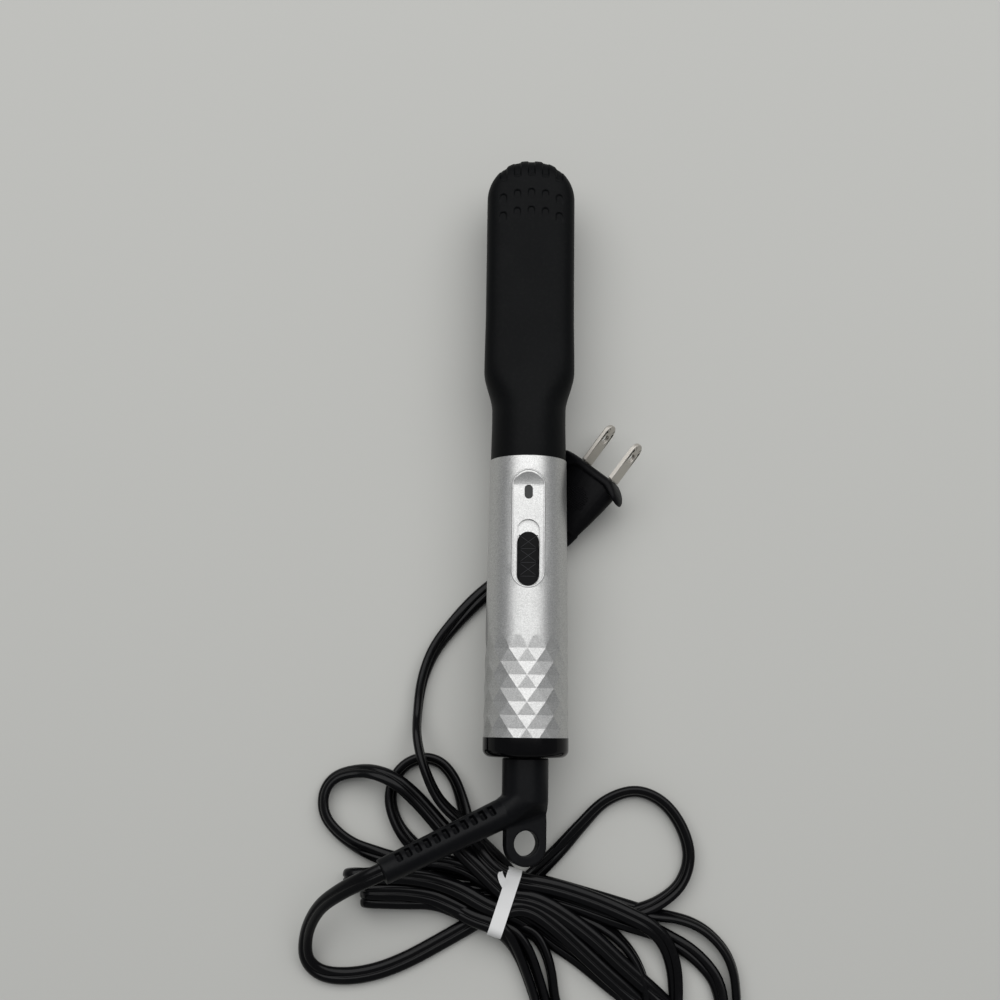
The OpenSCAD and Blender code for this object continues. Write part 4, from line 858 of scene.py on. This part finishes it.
def head_skin(side, inset, stops, tip_turns, count):
    rings = [
        head_arc(s, JOINT_Y + s, half_width(s) - inset, half_height(s, side) - inset, side, count)
        for s in stops
    ]
    end_h = (BACK_H if side > 0 else FACE_H) - inset
    for turn in tip_turns:
        a = math.radians(turn)
        rings.append(head_arc(
            TIP_S, JOINT_Y + TIP_S + (TIP_LEN - inset) * math.sin(a), (HEAD_W / 2 - inset) * math.cos(a),
            end_h * (1 - math.sin(a) ** 3) ** (1 / 3), side, count,
        ))
    return np.array(rings)


print("head sections from y", JOINT_Y, "to", TIP_Y, "mm")

# %% [markdown]
# Fingers hold the head by rows of dimples moulded into its back and by five notches in the rim. Many small
# Boolean tools could cut them. Pressing the grid's own points down gives softer walls and a cleaner net.

# %% Dimples and notches of the tip
DIMPLE_GAP, DIMPLE_W, DIMPLE_LEN, DIMPLE_DEPTH = 4.9, 2.3, 3.8, 0.6
DIMPLE_ROWS_Y = [TIP_Y - 13.5, TIP_Y - 20]
RIM_GROOVE_LEN, RIM_GROOVE_RAMP, RIM_GROOVE_DEPTH = 7.6, 1.4, 0.75
DIMPLE_EDGE, DIMPLE_BOW = 0.22, 0.5
NOTCH_R, NOTCH_IN = 1.5, 0.7
SHELL_GRID = {1: (181, 0.28), -1: (121, 0.8)}
FINE_LEN, COARSE_ROWS, TIP_ROWS, LAST_TIP_TURN = 12, 78, 74, 89.2
SHELL_SHARP = math.radians(40)


def press_dimples(skin):
    """Presses two rows of dimples, and the grooves that start at the rim, down into the upper skin."""
    rows = [(y, DIMPLE_LEN - DIMPLE_W / 2, DIMPLE_LEN, DIMPLE_DEPTH) for y in DIMPLE_ROWS_Y]
    rows.append((TIP_Y, RIM_GROOVE_LEN, RIM_GROOVE_RAMP, RIM_GROOVE_DEPTH))
    for row_y, reach, ramp, depth in rows:
        for col in range(-2, 3):
            across = np.abs(skin[..., 0] - col * DIMPLE_GAP)
            along = skin[..., 1] - (row_y - DIMPLE_BOW * col * col)
            edge = np.where(along > 0, np.hypot(across, along), across) - DIMPLE_W / 2
            inside = np.clip(0.5 - edge / DIMPLE_EDGE / 2, 0, 1)
            fade = np.clip((along + reach) / ramp, 0, 1)
            skin[..., 2] -= depth * inside * inside * (3 - 2 * inside) * fade
    return skin


def cut_notches(skin):
    """Five round notches in the rim of the tip."""
    for col in range(-2, 3):
        reach = TIP_LEN * (1 - math.sqrt(1 - (col * DIMPLE_GAP / (HEAD_W / 2)) ** 2))
        across = skin[..., 0] - col * DIMPLE_GAP
        wall = TIP_Y - reach + NOTCH_IN - np.sqrt(np.maximum(NOTCH_R ** 2 - across ** 2, 0))
        hit = (np.abs(across) < NOTCH_R) & (skin[..., 1] > wall)
        skin[..., 1] = np.where(hit, wall, skin[..., 1])
    return skin


def half_shell(name, side):
    """Closed half shell: outer skin, inner skin and the rim between them, with a finer grid near the tip."""
    count, step = SHELL_GRID[side]
    fine_from = TIP_S - FINE_LEN
    coarse = np.linspace(0, fine_from, COARSE_ROWS)
    fine = np.arange(fine_from + step, TIP_S - step / 2, step)
    stops = np.concatenate([coarse, fine, [TIP_S]])
    turns = np.linspace(0, LAST_TIP_TURN, TIP_ROWS)[1:]
    outer = head_skin(side, 0, stops, turns, count)
    if side > 0:
        outer = press_dimples(outer)
    outer = cut_notches(outer)
    inner = head_skin(side, WALL, stops, turns, count)
    rows = len(outer)
    points = np.concatenate([outer.reshape(-1, 3), inner.reshape(-1, 3)]) * MM
    faces = skin_faces(rows, count, closed=False)
    shift = rows * count
    faces += [tuple(reversed([k + shift for k in face])) for face in faces]
    for i in range(rows - 1):
        for k in (0, count - 1):
            a, b = i * count + k, (i + 1) * count + k
            faces.append((a, b, b + shift, a + shift) if k else (b, a, a + shift, b + shift))
    for i in (0, rows - 1):
        for k in range(count - 1):
            a, b = i * count + k, i * count + k + 1
            faces.append((a, b, b + shift, a + shift) if i else (b, a, a + shift, b + shift))
    piece = outward(make_object(name, points, faces))
    piece.data.set_sharp_from_angle(angle=SHELL_SHARP)
    return piece


head_back = stand_in(half_shell("head_back_shell", 1), "head_cover")
print("back shell", len(head_back.data.vertices), "points")

# %% [markdown]
# The comb looks out through a long round-ended window in the face, with one screw hole in front of it and
# two behind. These openings go right through and have crisp walls, so here a Boolean cut is the better way.

# %% Cutting with the Boolean modifier
SCREW_HEAD_R, FRONT_SCREW_GAP, REAR_SCREW_GAP, REAR_SCREW_X = 2.2, 3.4, 5.5, 8


def prism(name, outline, z0, z1):
    """An upright prism on an outline in millimetres."""
    low = [(x, y, z0) for x, y in outline]
    high = [(x, y, z1) for x, y in outline]
    return outward(skin_rings(name, [low, high]))


def stadium(width, length, mid_y, count=48):
    points = []
    for k in range(count):
        a = 2 * math.pi * k / count
        end = (length - width) / 2 * (1 if math.sin(a) >= 0 else -1)
        points.append((width / 2 * math.cos(a), mid_y + end + width / 2 * math.sin(a)))
    return points


def circle(radius, at, count=32):
    turns = [2 * math.pi * k / count for k in range(count)]
    return [(at[0] + radius * math.cos(a), at[1] + radius * math.sin(a)) for a in turns]


def applied(piece):
    """Replaces a piece's mesh by what its modifiers make of it."""
    evaluated = piece.evaluated_get(bpy.context.evaluated_depsgraph_get())
    mesh = bpy.data.meshes.new_from_object(evaluated)
    piece.modifiers.clear()
    piece.data = mesh
    return piece


def carve(piece, cutters):
    for cutter in cutters:
        cut = piece.modifiers.new(cutter.name, "BOOLEAN")
        cut.operation = "DIFFERENCE"
        cut.solver = "EXACT"
        cut.object = cutter
    applied(piece)
    for cutter in cutters:
        bpy.data.objects.remove(cutter)
    return piece


window_front_y = TIP_Y - WINDOW_GAP
window_mid_y = window_front_y - WINDOW_LEN / 2
face_z = AXIS_Z - FACE_H
screw_places = [(0, window_front_y + FRONT_SCREW_GAP)]
screw_places += [(x, window_front_y - WINDOW_LEN - REAR_SCREW_GAP) for x in (-REAR_SCREW_X, REAR_SCREW_X)]
cutters = [prism("window_cutter", stadium(WINDOW_W, WINDOW_LEN, window_mid_y, 96), face_z - 2, face_z + 4)]
for i, at in enumerate(screw_places):
    cutters.append(prism(f"screw_cutter_{i}", circle(SCREW_HEAD_R, at), face_z - 4, face_z + 4))
head_face = carve(half_shell("head_face_shell", -1), cutters)
head_face.data.set_sharp_from_angle(angle=SHELL_SHARP)
stand_in(head_face, "head_frame")
print("face shell", len(head_face.data.vertices), "points")

# %% [markdown]
# ## The sleeve and its diamond grip
# The grip of the real sleeve is a band of flat triangles. Seven rings of fourteen corners lie on the
# sleeve's surface, each ring turned by half a step, and every facet joins corners of two rings. Level edges
# between the facets are shallow valleys and slanted ones are ridges. Each ring is filled up with points
# along its straight sides, so that every ridge runs exactly through grid points; above the first ring the
# flat facets fade out in the round surface.

# %% Grid of the diamond grip
SLEEVE_FRONT_R, SLEEVE_REAR_R, SLEEVE_LEN, SLEEVE_WALL = 13.1, 14.35, 93.7, 1.8
SLEEVE_REAR_Y = JOINT_Y - SLEEVE_LEN
FACETS, FACET_ROW, GRIP_LEN = 14, 4.38, 33.6
GRIP_Y = SLEEVE_REAR_Y + GRIP_LEN
PER_SIDE = 16
SUB_ROWS = PER_SIDE // 2
FADE_ROWS = 12


def sleeve_r(y, inset=0.0):
    return mix(SLEEVE_FRONT_R, SLEEVE_REAR_R, (JOINT_Y - y) / SLEEVE_LEN) - inset


def corner(row, k):
    """Corner k of a ring of the grip; odd rings have a corner on the crown, and k may be a half."""
    y = GRIP_Y - row * FACET_ROW
    a = math.radians(90 + k * 360 / FACETS)
    return np.array([sleeve_r(y) * math.cos(a), y, AXIS_Z + sleeve_r(y) * math.sin(a)])


def grip_ring(row, t):
    """Points between two rings of corners, in order round the axis from the crown."""
    first = 0 if row % 2 else 0.5
    j = round(t * SUB_ROWS)
    points = []
    for n in range(FACETS):
        k = n + first
        left, right = [mix(corner(row, k), corner(row + 1, k + d), t) for d in (-0.5, 0.5)]
        ahead = mix(corner(row, k + 1), corner(row + 1, k + 0.5), t)
        points += [mix(left, right, i / (2 * j)) for i in range(2 * j)] if j else []
        points += [mix(right, ahead, i / (PER_SIDE - 2 * j)) for i in range(PER_SIDE - 2 * j)]
    shift = round(first * PER_SIDE) - j
    return np.roll(np.array(points), shift, axis=0)


def fading_ring(t):
    """Above the first ring of corners: the round surface, cut by the planes of the facets below."""
    y = GRIP_Y - t * FACET_ROW
    r = sleeve_r(y)
    flat = r * (1 - t * (1 - math.cos(math.pi / FACETS)))
    points = []
    for i in range(FACETS * PER_SIDE):
        a = 2 * math.pi * i / (FACETS * PER_SIDE)
        off = (a + math.pi / FACETS) % (2 * math.pi / FACETS) - math.pi / FACETS
        from_middle = math.pi / FACETS - abs(off)
        near = min(r, flat / math.cos(from_middle))
        points.append((near * math.cos(a + math.pi / 2), y, AXIS_Z + near * math.sin(a + math.pi / 2)))
    return np.array(points)


grip_rings = [fading_ring(i / FADE_ROWS) for i in range(FADE_ROWS)]
ROW_COUNT = math.ceil(GRIP_LEN / FACET_ROW)
for row in range(1, ROW_COUNT):
    grip_rings += [grip_ring(row, j / SUB_ROWS) for j in range(SUB_ROWS)]
grip_rings = np.array([ring for ring in grip_rings if ring[0][1] > SLEEVE_REAR_Y + 0.05])
last = (grip_rings[-1][0][1] - SLEEVE_REAR_Y) / (FACET_ROW / SUB_ROWS)
beyond = grip_rings[-1] + (grip_rings[-1] - grip_rings[-2]) * last
grip_rings = np.concatenate([grip_rings, beyond[None]])
print(len(grip_rings), "rings of", grip_rings.shape[1], "points in the grip")


# %% [markdown]
# The sleeve is two half shells that meet along both sides, and the facets run across the seam. So the grid
# of rings is split at the seam and gets an inner wall, and the smooth front of each shell comes from the
# exact model.

# %% Half shells with the faceted grip
HALF = FACETS * PER_SIDE // 4
RIM_BOX = ((-5.9, -49.4), (5.9, -7.6))
RIM_ANGLE, FACET_ANGLE = math.radians(7), math.radians(4.5)
RIM_ROUNDING, CORNER_ROUNDING, FACET_ROUNDING = 1.0, 0.35, 0.28


def off_axis(p, q):
    """How far the middle between two points lies from the handle's axis, in metres."""
    return np.linalg.norm((p + q) / 2 - (0, p[1] / 2 + q[1] / 2, AXIS_Z * MM))


def grip_half(side):
    """Half of the faceted tube as a closed mesh, top (1) or bottom (-1)."""
    turn = 0 if side > 0 else 2 * HALF
    outer = np.roll(grip_rings, HALF - turn, axis=1)[:, : 2 * HALF + 1].copy()
    if side < 0:
        outer[..., 2] = np.minimum(outer[..., 2], AXIS_Z - SEAM_GAP)
    else:
        outer[..., 2] = np.maximum(outer[..., 2], AXIS_Z)
    inner = outer.copy()
    for i, ring in enumerate(outer):
        away = np.hypot(ring[:, 0], ring[:, 2] - AXIS_Z)
        bore = sleeve_r(ring[0, 1], SLEEVE_WALL)
        inner[i, :, 0] = ring[:, 0] * bore / away
        inner[i, :, 2] = AXIS_Z + (ring[:, 2] - AXIS_Z) * bore / away
        inner[i, [0, -1], 2] = outer[i, [0, -1], 2]
    rows, count = outer.shape[:2]
    points = np.concatenate([outer.reshape(-1, 3), inner.reshape(-1, 3)]) * MM
    shift = rows * count
    faces = []
    for i in range(rows - 1):
        for k in range(count - 1):
            a, c = i * count + k, (i + 1) * count + k
            b, d = a + 1, c + 1
            if off_axis(points[a], points[d]) >= off_axis(points[b], points[c]):
                faces += [(a, b, d), (a, d, c)]
            else:
                faces += [(a, b, c), (b, d, c)]
            faces.append((a + shift, c + shift, d + shift, b + shift))
        for k in (0, count - 1):
            a, c = i * count + k, (i + 1) * count + k
            faces.append((a, c, c + shift, a + shift))
    for i in (0, rows - 1):
        for k in range(count - 1):
            a, b = i * count + k, i * count + k + 1
            faces.append((a, b, b + shift, a + shift))
    return outward(make_object("grip_half", points, faces))


def front_part(node):
    """The copied half shell from the grip forwards, closed again at the cut."""
    work = welded_copy(node)
    cut = bmesh.ops.bisect_plane(
        work, geom=work.verts[:] + work.edges[:] + work.faces[:], dist=1e-7,
        plane_co=(0, GRIP_Y * MM, 0), plane_no=(0, -1, 0), clear_outer=True,
    )
    rim = [e for e in cut["geom_cut"] if isinstance(e, bmesh.types.BMEdge)]
    bmesh.ops.holes_fill(work, edges=rim, sides=0)
    return finish_copy(work, f"{node}_front")


def sleeve_edges(edge, angle):
    """Strong rounding on the panel's rim, light on all other corners, and a trace on the grip's facets."""
    middle = (edge.verts[0].co + edge.verts[1].co) / 2 / MM
    (x0, y0), (x1, y1) = RIM_BOX
    on_skin = math.hypot(middle.x, middle.z - AXIS_Z) > sleeve_r(middle.y) - 0.12
    in_box = x0 < middle.x < x1 and y0 < middle.y < y1 and middle.z > AXIS_Z
    if in_box and on_skin and angle > RIM_ANGLE:
        return RIM_ROUNDING
    if angle > SHARP:
        return CORNER_ROUNDING
    return FACET_ROUNDING if middle.y < GRIP_Y - 0.3 and angle > FACET_ANGLE else 0.0


# %% [markdown]
# A low rounded bead frames the sunk switch panel on the top shell. It is skinned as a closed ring of half
# circles, which follow the panel's outline on the round surface.

# %% Raised bead round the switch panel
PANEL_W, PANEL_LEN, PANEL_MID_Y = 10.6, 39.4, -28.7
BEAD_W, BEAD_H, BEAD_CLEAR, BEAD_SINK, BEAD_ROOT = 0.6, 0.16, 0.25, 0.02, 0.2


def panel_bead():
    """A low rounded bead on the sleeve's surface that follows the panel's outline."""
    route = np.array(stadium(PANEL_W + BEAD_CLEAR, PANEL_LEN + BEAD_CLEAR, PANEL_MID_Y, 120))
    ahead = np.roll(route, -1, axis=0) - np.roll(route, 1, axis=0)
    outwards = np.column_stack([ahead[:, 1], -ahead[:, 0]]) / np.linalg.norm(ahead, axis=1)[:, None]
    rings = []
    for (x, y), (out_x, out_y) in zip(route, outwards):
        ring = []
        for turn in range(0, 181, 20):
            across = BEAD_W / 2 * math.cos(math.radians(turn))
            px, py = x + out_x * across, y + out_y * across
            up = BEAD_H * math.sin(math.radians(turn))
            ring.append((px, py, AXIS_Z + math.sqrt(sleeve_r(py) ** 2 - px ** 2) + up - BEAD_SINK))
        ring += [(px, py, pz - BEAD_ROOT) for px, py, pz in (ring[-1], ring[0])]
        rings.append(ring)
    rings.append(rings[0])
    return outward(skin_rings("panel_bead", rings, caps=False), weld=1e-8)


print("bead", BEAD_W, "mm wide and", BEAD_H, "mm high")

# %% [markdown]
# Each shell's front and its faceted tail become one solid with a Boolean union, and then its edges are
# softened. The bead is a separate closed mesh inside the same piece, because it is moulded in one with the
# shell.

# %% Sleeve shells
SLEEVE_EDGE_MM = 0.42


def joined(name, pieces):
    """One mesh from several closed ones."""
    work = bmesh.new()
    for piece in pieces:
        work.from_mesh(piece.data)
        bpy.data.objects.remove(piece)
    return finish_copy(work, name)


for name, side in (("sleeve_top", 1), ("sleeve_bottom", -1)):
    shell, tail = front_part(name), grip_half(side)
    union = shell.modifiers.new("grip", "BOOLEAN")
    union.operation = "UNION"
    union.solver = "EXACT"
    union.object = tail
    applied(shell)
    bpy.data.objects.remove(tail)
    shell.name = f"{name}_soft"
    soften(shell, SLEEVE_EDGE_MM, sleeve_edges, 3)
    if side > 0:
        shell = joined("sleeve_top_beaded", [applied(shell), panel_bead()])
    stand_in(shell, name)
    print(name, len(shell.data.vertices), "points")

# %% [markdown]
# ## Rubber pieces: boot and plug
# Soft mouldings have no crisp edges at all. The boot's exact shape is turned into an even net of small
# squares with the voxel Remesh modifier, and a few passes of the Smooth modifier melt its edges. Round the
# bend, where the real boot flows from the neck into the strain relief, the smoothing is much stronger.


# %% Boot
def melted(piece, voxel_mm, passes):
    """An even net over the piece's shape, with softened edges."""
    net = piece.modifiers.new("even net", "REMESH")
    net.mode = "VOXEL"
    net.voxel_size = voxel_mm * MM
    net.use_smooth_shade = True
    melt = piece.modifiers.new("soft edges", "SMOOTH")
    melt.factor = 0.5
    melt.iterations = passes
    return applied(piece)


BEND = Vector((0, -119.1, 18.5)) * MM
BEND_REACH, BEND_PASSES = 0.0095, 60
TAB_REACH, TAB_FADE = 0.0085, 0.003
BOOT_VOXEL_MM, MELT_PASSES = 0.26, 4
boot = melted(finish_copy(welded_copy("cord_boot"), "cord_boot_rubber"), BOOT_VOXEL_MM, MELT_PASSES)
bend_group = boot.vertex_groups.new(name="bend")
for vertex in boot.data.vertices:
    offset = vertex.co - BEND
    near = 1 - offset.length / BEND_REACH
    above_tab = min(1, max(0, (offset.y + TAB_REACH) / TAB_FADE))
    if near > 0 and above_tab > 0:
        bend_group.add([vertex.index], min(1, near * 3) * above_tab, "REPLACE")
flow = boot.modifiers.new("flowing bend", "SMOOTH")
flow.factor = 0.5
flow.iterations = BEND_PASSES
flow.vertex_group = bend_group.name
stand_in(applied(boot), "cord_boot")
boot.data.shade_smooth()
print("boot", len(boot.data.vertices), "points")

# %% [markdown]
# The plug is one moulding over the blades: a tapering body, a soft neck in which the cord turns, and a
# broad flange for the fingers. Three ring skins are joined and then melted into one, as the real moulding
# has no seams.

# %% Plug body
PLUG_PLACE = (
    Matrix.Translation(Vector((25.1, -5.7, 10.2)) * MM)
    @ Matrix.Rotation(math.radians(-36.3), 4, "Z")
    @ Matrix.Rotation(math.radians(10), 4, "X")
    @ Matrix.Rotation(math.radians(-24.4), 4, "Y")
)
PLUG_W, PLUG_T, PLUG_LEN, TAIL_W, TAIL_T = 21.2, 10, 23.4, 15.6, 5.8
FLANGE_LEFT, FLANGE_RIGHT, FLANGE_HALF_H, FLANGE_T = 16, 14, 5.5, 2.8
FLANGE_SWEEP, FLANGE_BEND_X, FLANGE_ROOT = 3.6, 7, 4.5
FLANGE_ROOT_X, FLANGE_ROOT_SPAN = 7, 5
PLUG_JOIN, PLUG_VOXEL_MM = 0.6, 0.24


def cut_corners(points, passes):
    """Chaikin's corner cutting: each pass doubles the points and rounds the outline."""
    p = np.asarray(points, float)
    for _ in range(passes):
        ahead = np.roll(p, -1, axis=0)
        p = np.stack([0.75 * p + 0.25 * ahead, 0.25 * p + 0.75 * ahead], axis=1).reshape(-1, p.shape[1])
    return p


def plug_ring(y, w, t, flat, edge, drop=0.0, shift=0.0, turn=0.0):
    """Broad flats above and below, and bevels down to a narrow edge on both sides."""
    corners = [(1, edge), (flat, 1), (-flat, 1), (-1, edge), (-1, -edge), (-flat, -1), (flat, -1), (1, -edge)]
    outline = cut_corners([(q * w / 2, r * t / 2) for q, r in corners], 2)
    c, s = math.cos(math.radians(turn)), math.sin(math.radians(turn))
    return [(shift + x * c - z * s, y, x * s + z * c - drop) for x, z in outline]


def plug_size(u):
    """Width, thickness, flat share and edge share of the body, from its flange (0) to its tail (1)."""
    width, thickness = mix(PLUG_W, TAIL_W, u ** 1.5), mix(PLUG_T, TAIL_T, u ** 1.2)
    return width, thickness, mix(0.66, 0.56, u), mix(0.46, 0.36, u)


body_rings = [
    plug_ring(mix(-FLANGE_T + PLUG_JOIN, -PLUG_LEN, u), *plug_size(u)) for u in np.linspace(0, 1, 24)
]
neck_rings = [
    plug_ring(-PLUG_LEN + PLUG_JOIN, TAIL_W, TAIL_T - 0.6, 0.6, 0.4, 0.2, 0.4),
    plug_ring(-PLUG_LEN - 3.6, TAIL_W - 3, TAIL_T - 1.2, 0.6, 0.4, 0.8, 0.9),
    plug_ring(-PLUG_LEN - 7, CORD_W + 3, CORD_T + 1, 0.7, 0.4, 1.4, 0.5, -12.2),
    plug_ring(-PLUG_LEN - 10.4, CORD_W + 1.2, CORD_T + 0.9, 0.8, 0.4, 1.9, -0.2, -24.4),
]


def flange_rings():
    """Nested outlines of the flange: its front from the middle out, over the rim, and in at the back."""
    left, right, b = FLANGE_LEFT, FLANGE_RIGHT, FLANGE_HALF_H
    corners = [
        (right, b - 3.3), (right - 3, b), (3 - left, b), (-left, b - 3), (-left, 1), (6 - left, -b + 0.6),
        (right - 3, -b), (right, 3.3 - b),
    ]
    outline = cut_corners(corners, 3)
    profile = [
        (0.02, 0), (0.3, 0), (0.55, 0), (0.72, 0.08), (0.84, 0.3), (0.93, 0.7), (0.985, 1.3),
        (1, FLANGE_T - 0.8), (0.99, FLANGE_T - 0.35), (0.95, FLANGE_T), (0.8, FLANGE_T + 0.3),
        (0.02, FLANGE_T + 0.6),
    ]
    rings = []
    for scale, back in profile:
        past_bend = np.clip((outline[:, 0] * scale - FLANGE_BEND_X) / (right - FLANGE_BEND_X), 0, 1)
        sweep_back = FLANGE_SWEEP * past_bend ** 1.2
        if back > FLANGE_T / 2:
            to_root = np.clip((-outline[:, 0] * scale - FLANGE_ROOT_X) / FLANGE_ROOT_SPAN, 0, 1)
            sweep_back = sweep_back + FLANGE_ROOT * to_root
        rings.append(np.column_stack([outline[:, 0] * scale, -sweep_back - back, outline[:, 1] * scale]))
    return rings


plug_skins = enumerate([body_rings, neck_rings, flange_rings()])
parts = [outward(skin_rings(f"plug_part_{i}", rings)) for i, rings in plug_skins]
plug = melted(joined("plug_rubber", parts), PLUG_VOXEL_MM, MELT_PASSES)
print("plug", len(plug.data.vertices), "points")

# %% [markdown]
# Small raised dots on both broad faces keep the fingers from slipping. They are finer than the net of the
# melted body, so each is a small mesh of its own, added after the melting.

# %% Grip dots of the plug
DOT_GAP, DOT_R, DOT_H, DOT_ROOT, DOT_COUNT = 0.85, 0.26, 0.26, 0.2, 6
DOT_ROW_SHARE = 0.87
DOT_MID_X, DOT_MID_Y, DOT_FIELD_R = 0.6, -12.2, 4.5


def dot_rings(x, y, z):
    """Eight-sided rings of one dot, from below the surface up to its small flat top."""
    turns = [k * math.pi / 4 for k in range(8)]
    return [
        [(x + r * DOT_R * math.cos(a), y + r * DOT_R * math.sin(a), z + h) for a in turns]
        for r, h in ((1, -DOT_ROOT), (1, 0), (0.75, 0.7 * DOT_H), (0.3, DOT_H))
    ]


dots = []
for face_side in (1, -1):
    for i in range(-DOT_COUNT, DOT_COUNT + 1):
        for j in range(-DOT_COUNT, DOT_COUNT + 1):
            x, y = (i + 0.5 * (j % 2)) * DOT_GAP, j * DOT_GAP * DOT_ROW_SHARE
            if math.hypot(x, y) < DOT_FIELD_R:
                u = (-(FLANGE_T - PLUG_JOIN) - (DOT_MID_Y + y)) / (PLUG_LEN - FLANGE_T + PLUG_JOIN)
                rings = np.array(dot_rings(DOT_MID_X + x, DOT_MID_Y + y, plug_size(u)[1] / 2))
                rings[..., 2] *= face_side
                dots.append(outward(skin_rings("dot", rings)))
plug_dots = len(dots)
plug = joined("plug_rubber_dotted", [plug, *dots])
plug.data.transform(PLUG_PLACE)
plug.data.shade_smooth()
stand_in(plug, "plug_body")
print(plug_dots, "dots on the plug")

# %% [markdown]
# ## The slide button
# The thumb pushes a black button with a crown that falls away to both sides. Thin raised lines cross on it
# for grip: three level ones, and a cross between each pair. Each line is a small roof-shaped strip that
# follows the crown.

# %% Button and its raised lines
LINE_W, LINE_H, LINE_ENDS, LINE_STEPS = 0.4, 0.2, 3.1, 10
BUTTON_EDGE_MM = 0.35
LINE_LEVELS_Y = [-31.2, -35.8, -40.4, -45.0]


def raised_line(start, end):
    """A strip of triangular section from one point (x, y) to another on the crowned top."""
    start, end = np.array(start), np.array(end)
    side = np.array([-(end - start)[1], (end - start)[0]]) / np.linalg.norm(end - start) * LINE_W / 2
    rings = []
    for t in np.linspace(0, 1, LINE_STEPS):
        mid = mix(start, end, t)
        height = LINE_H * min(1, 6 * t, 6 * (1 - t))
        ring = []
        for across, rise in ((-1, -0.2), (-1, -0.02), (0, height), (1, -0.02), (1, -0.2)):
            x, y = mid + side * across
            ring.append((x, y, BUTTON_TOP_Z - BUTTON_CROWN * (x / BUTTON_W * 2) ** 2 + rise))
        rings.append(ring)
    return outward(skin_rings("line", rings))


button = soften(finish_copy(welded_copy("switch_button"), "button_shape"), BUTTON_EDGE_MM)
lines = [raised_line((-LINE_ENDS, y), (LINE_ENDS, y)) for y in LINE_LEVELS_Y[1:]]
for y0, y1 in zip(LINE_LEVELS_Y, LINE_LEVELS_Y[1:]):
    lines += [raised_line((-LINE_ENDS, y0), (LINE_ENDS, y1)), raised_line((LINE_ENDS, y0), (-LINE_ENDS, y1))]
stand_in(joined("button_lined", [applied(button), *lines]), "switch_button")
print(len(lines), "raised lines on the button")

# %% [markdown]
# ## The white tie
# A strip of stiff white plastic is wrapped once round the waist of the hank, and its end sticks out beside
# it. The band is a rounded ring swept along the cord's direction, with a slight wave so that it doesn't
# look machined.

# %% Tie band
TIE_W, TIE_T, TIE_LEN, TIE_H, TIE_CORNER_R = 4.8, 0.6, 23.4, 10.4, 3.4
TIE_WAVE_H, TIE_WAVE_PER_MM = 0.05, 0.9
TIE_TAIL_HALF_W, TIE_TAIL_TAPER, TIE_TAIL_T = 1.5, 0.12, 0.4
TIE_SHARP = math.radians(50)


def tie_outline(inset):
    """The ring round the bundle: flat on the table, rounded at both ends, slightly wavy on top."""
    a, h, r = TIE_LEN / 2 - inset, TIE_H - inset, TIE_CORNER_R - inset
    centres = [(a - r, r + inset), (a - r, h - r), (r - a, h - r), (r - a, r + inset)]
    points = []
    for start, (cx, cz) in zip((-90, 0, 90, 180), centres):
        for k in range(9):
            t = math.radians(start + k * 90 / 8)
            points.append((cx + r * math.cos(t), cz + r * math.sin(t)))
        if start == 0:
            top = np.linspace(a - r, r - a, 14)[1:-1]
            points += [(x, h + TIE_WAVE_H * math.sin(x * TIE_WAVE_PER_MM)) for x in top]
    return points


def tie_band():
    outer, inner = tie_outline(0), tie_outline(TIE_T)
    stops = [(-0.5, 0.16), (-0.47, 0), (-0.15, 0.02), (0.15, -0.02), (0.47, 0), (0.5, 0.16)]
    loops = [[(along * TIE_W, x * (1 - thin / 30), z) for x, z in outer] for along, thin in stops]
    loops += [[(along * TIE_W, x, z) for x, z in inner] for along, _ in reversed(stops)]
    loops.append(loops[0])
    return skin_rings("tie_band", loops, caps=False)


def tie_tail():
    """The free end: a short strip that leaves the band's left edge and lifts off the cord."""
    path = [(-1.2, 5.5, 10.3), (-2.2, 6.2, 10.5), (-3.4, 7.2, 10.7), (-4.3, 8.3, 10.2), (-4.9, 9.4, 9.4)]
    rings = []
    for k, (x, y, z) in enumerate(path):
        half = TIE_TAIL_HALF_W - TIE_TAIL_TAPER * k
        dx, dy, low = half * 0.5, half * 0.8, z - TIE_TAIL_T
        rings.append([(x - dx, y - dy, z), (x + dx, y + dy, z), (x + dx, y + dy, low), (x - dx, y - dy, low)])
    return outward(skin_rings("tie_tail", rings))


tie = outward(joined("tie_strip", [tie_band(), tie_tail()]), weld=1e-7)
tie.data.transform(Matrix.Translation(TIE_MID * MM) @ Matrix.Rotation(TIE_TURN, 4, "Z"))
tie.data.shade_smooth()
tie.data.set_sharp_from_angle(angle=TIE_SHARP)
stand_in(tie, "cord_tie")
print("tie", len(tie.data.vertices), "points")
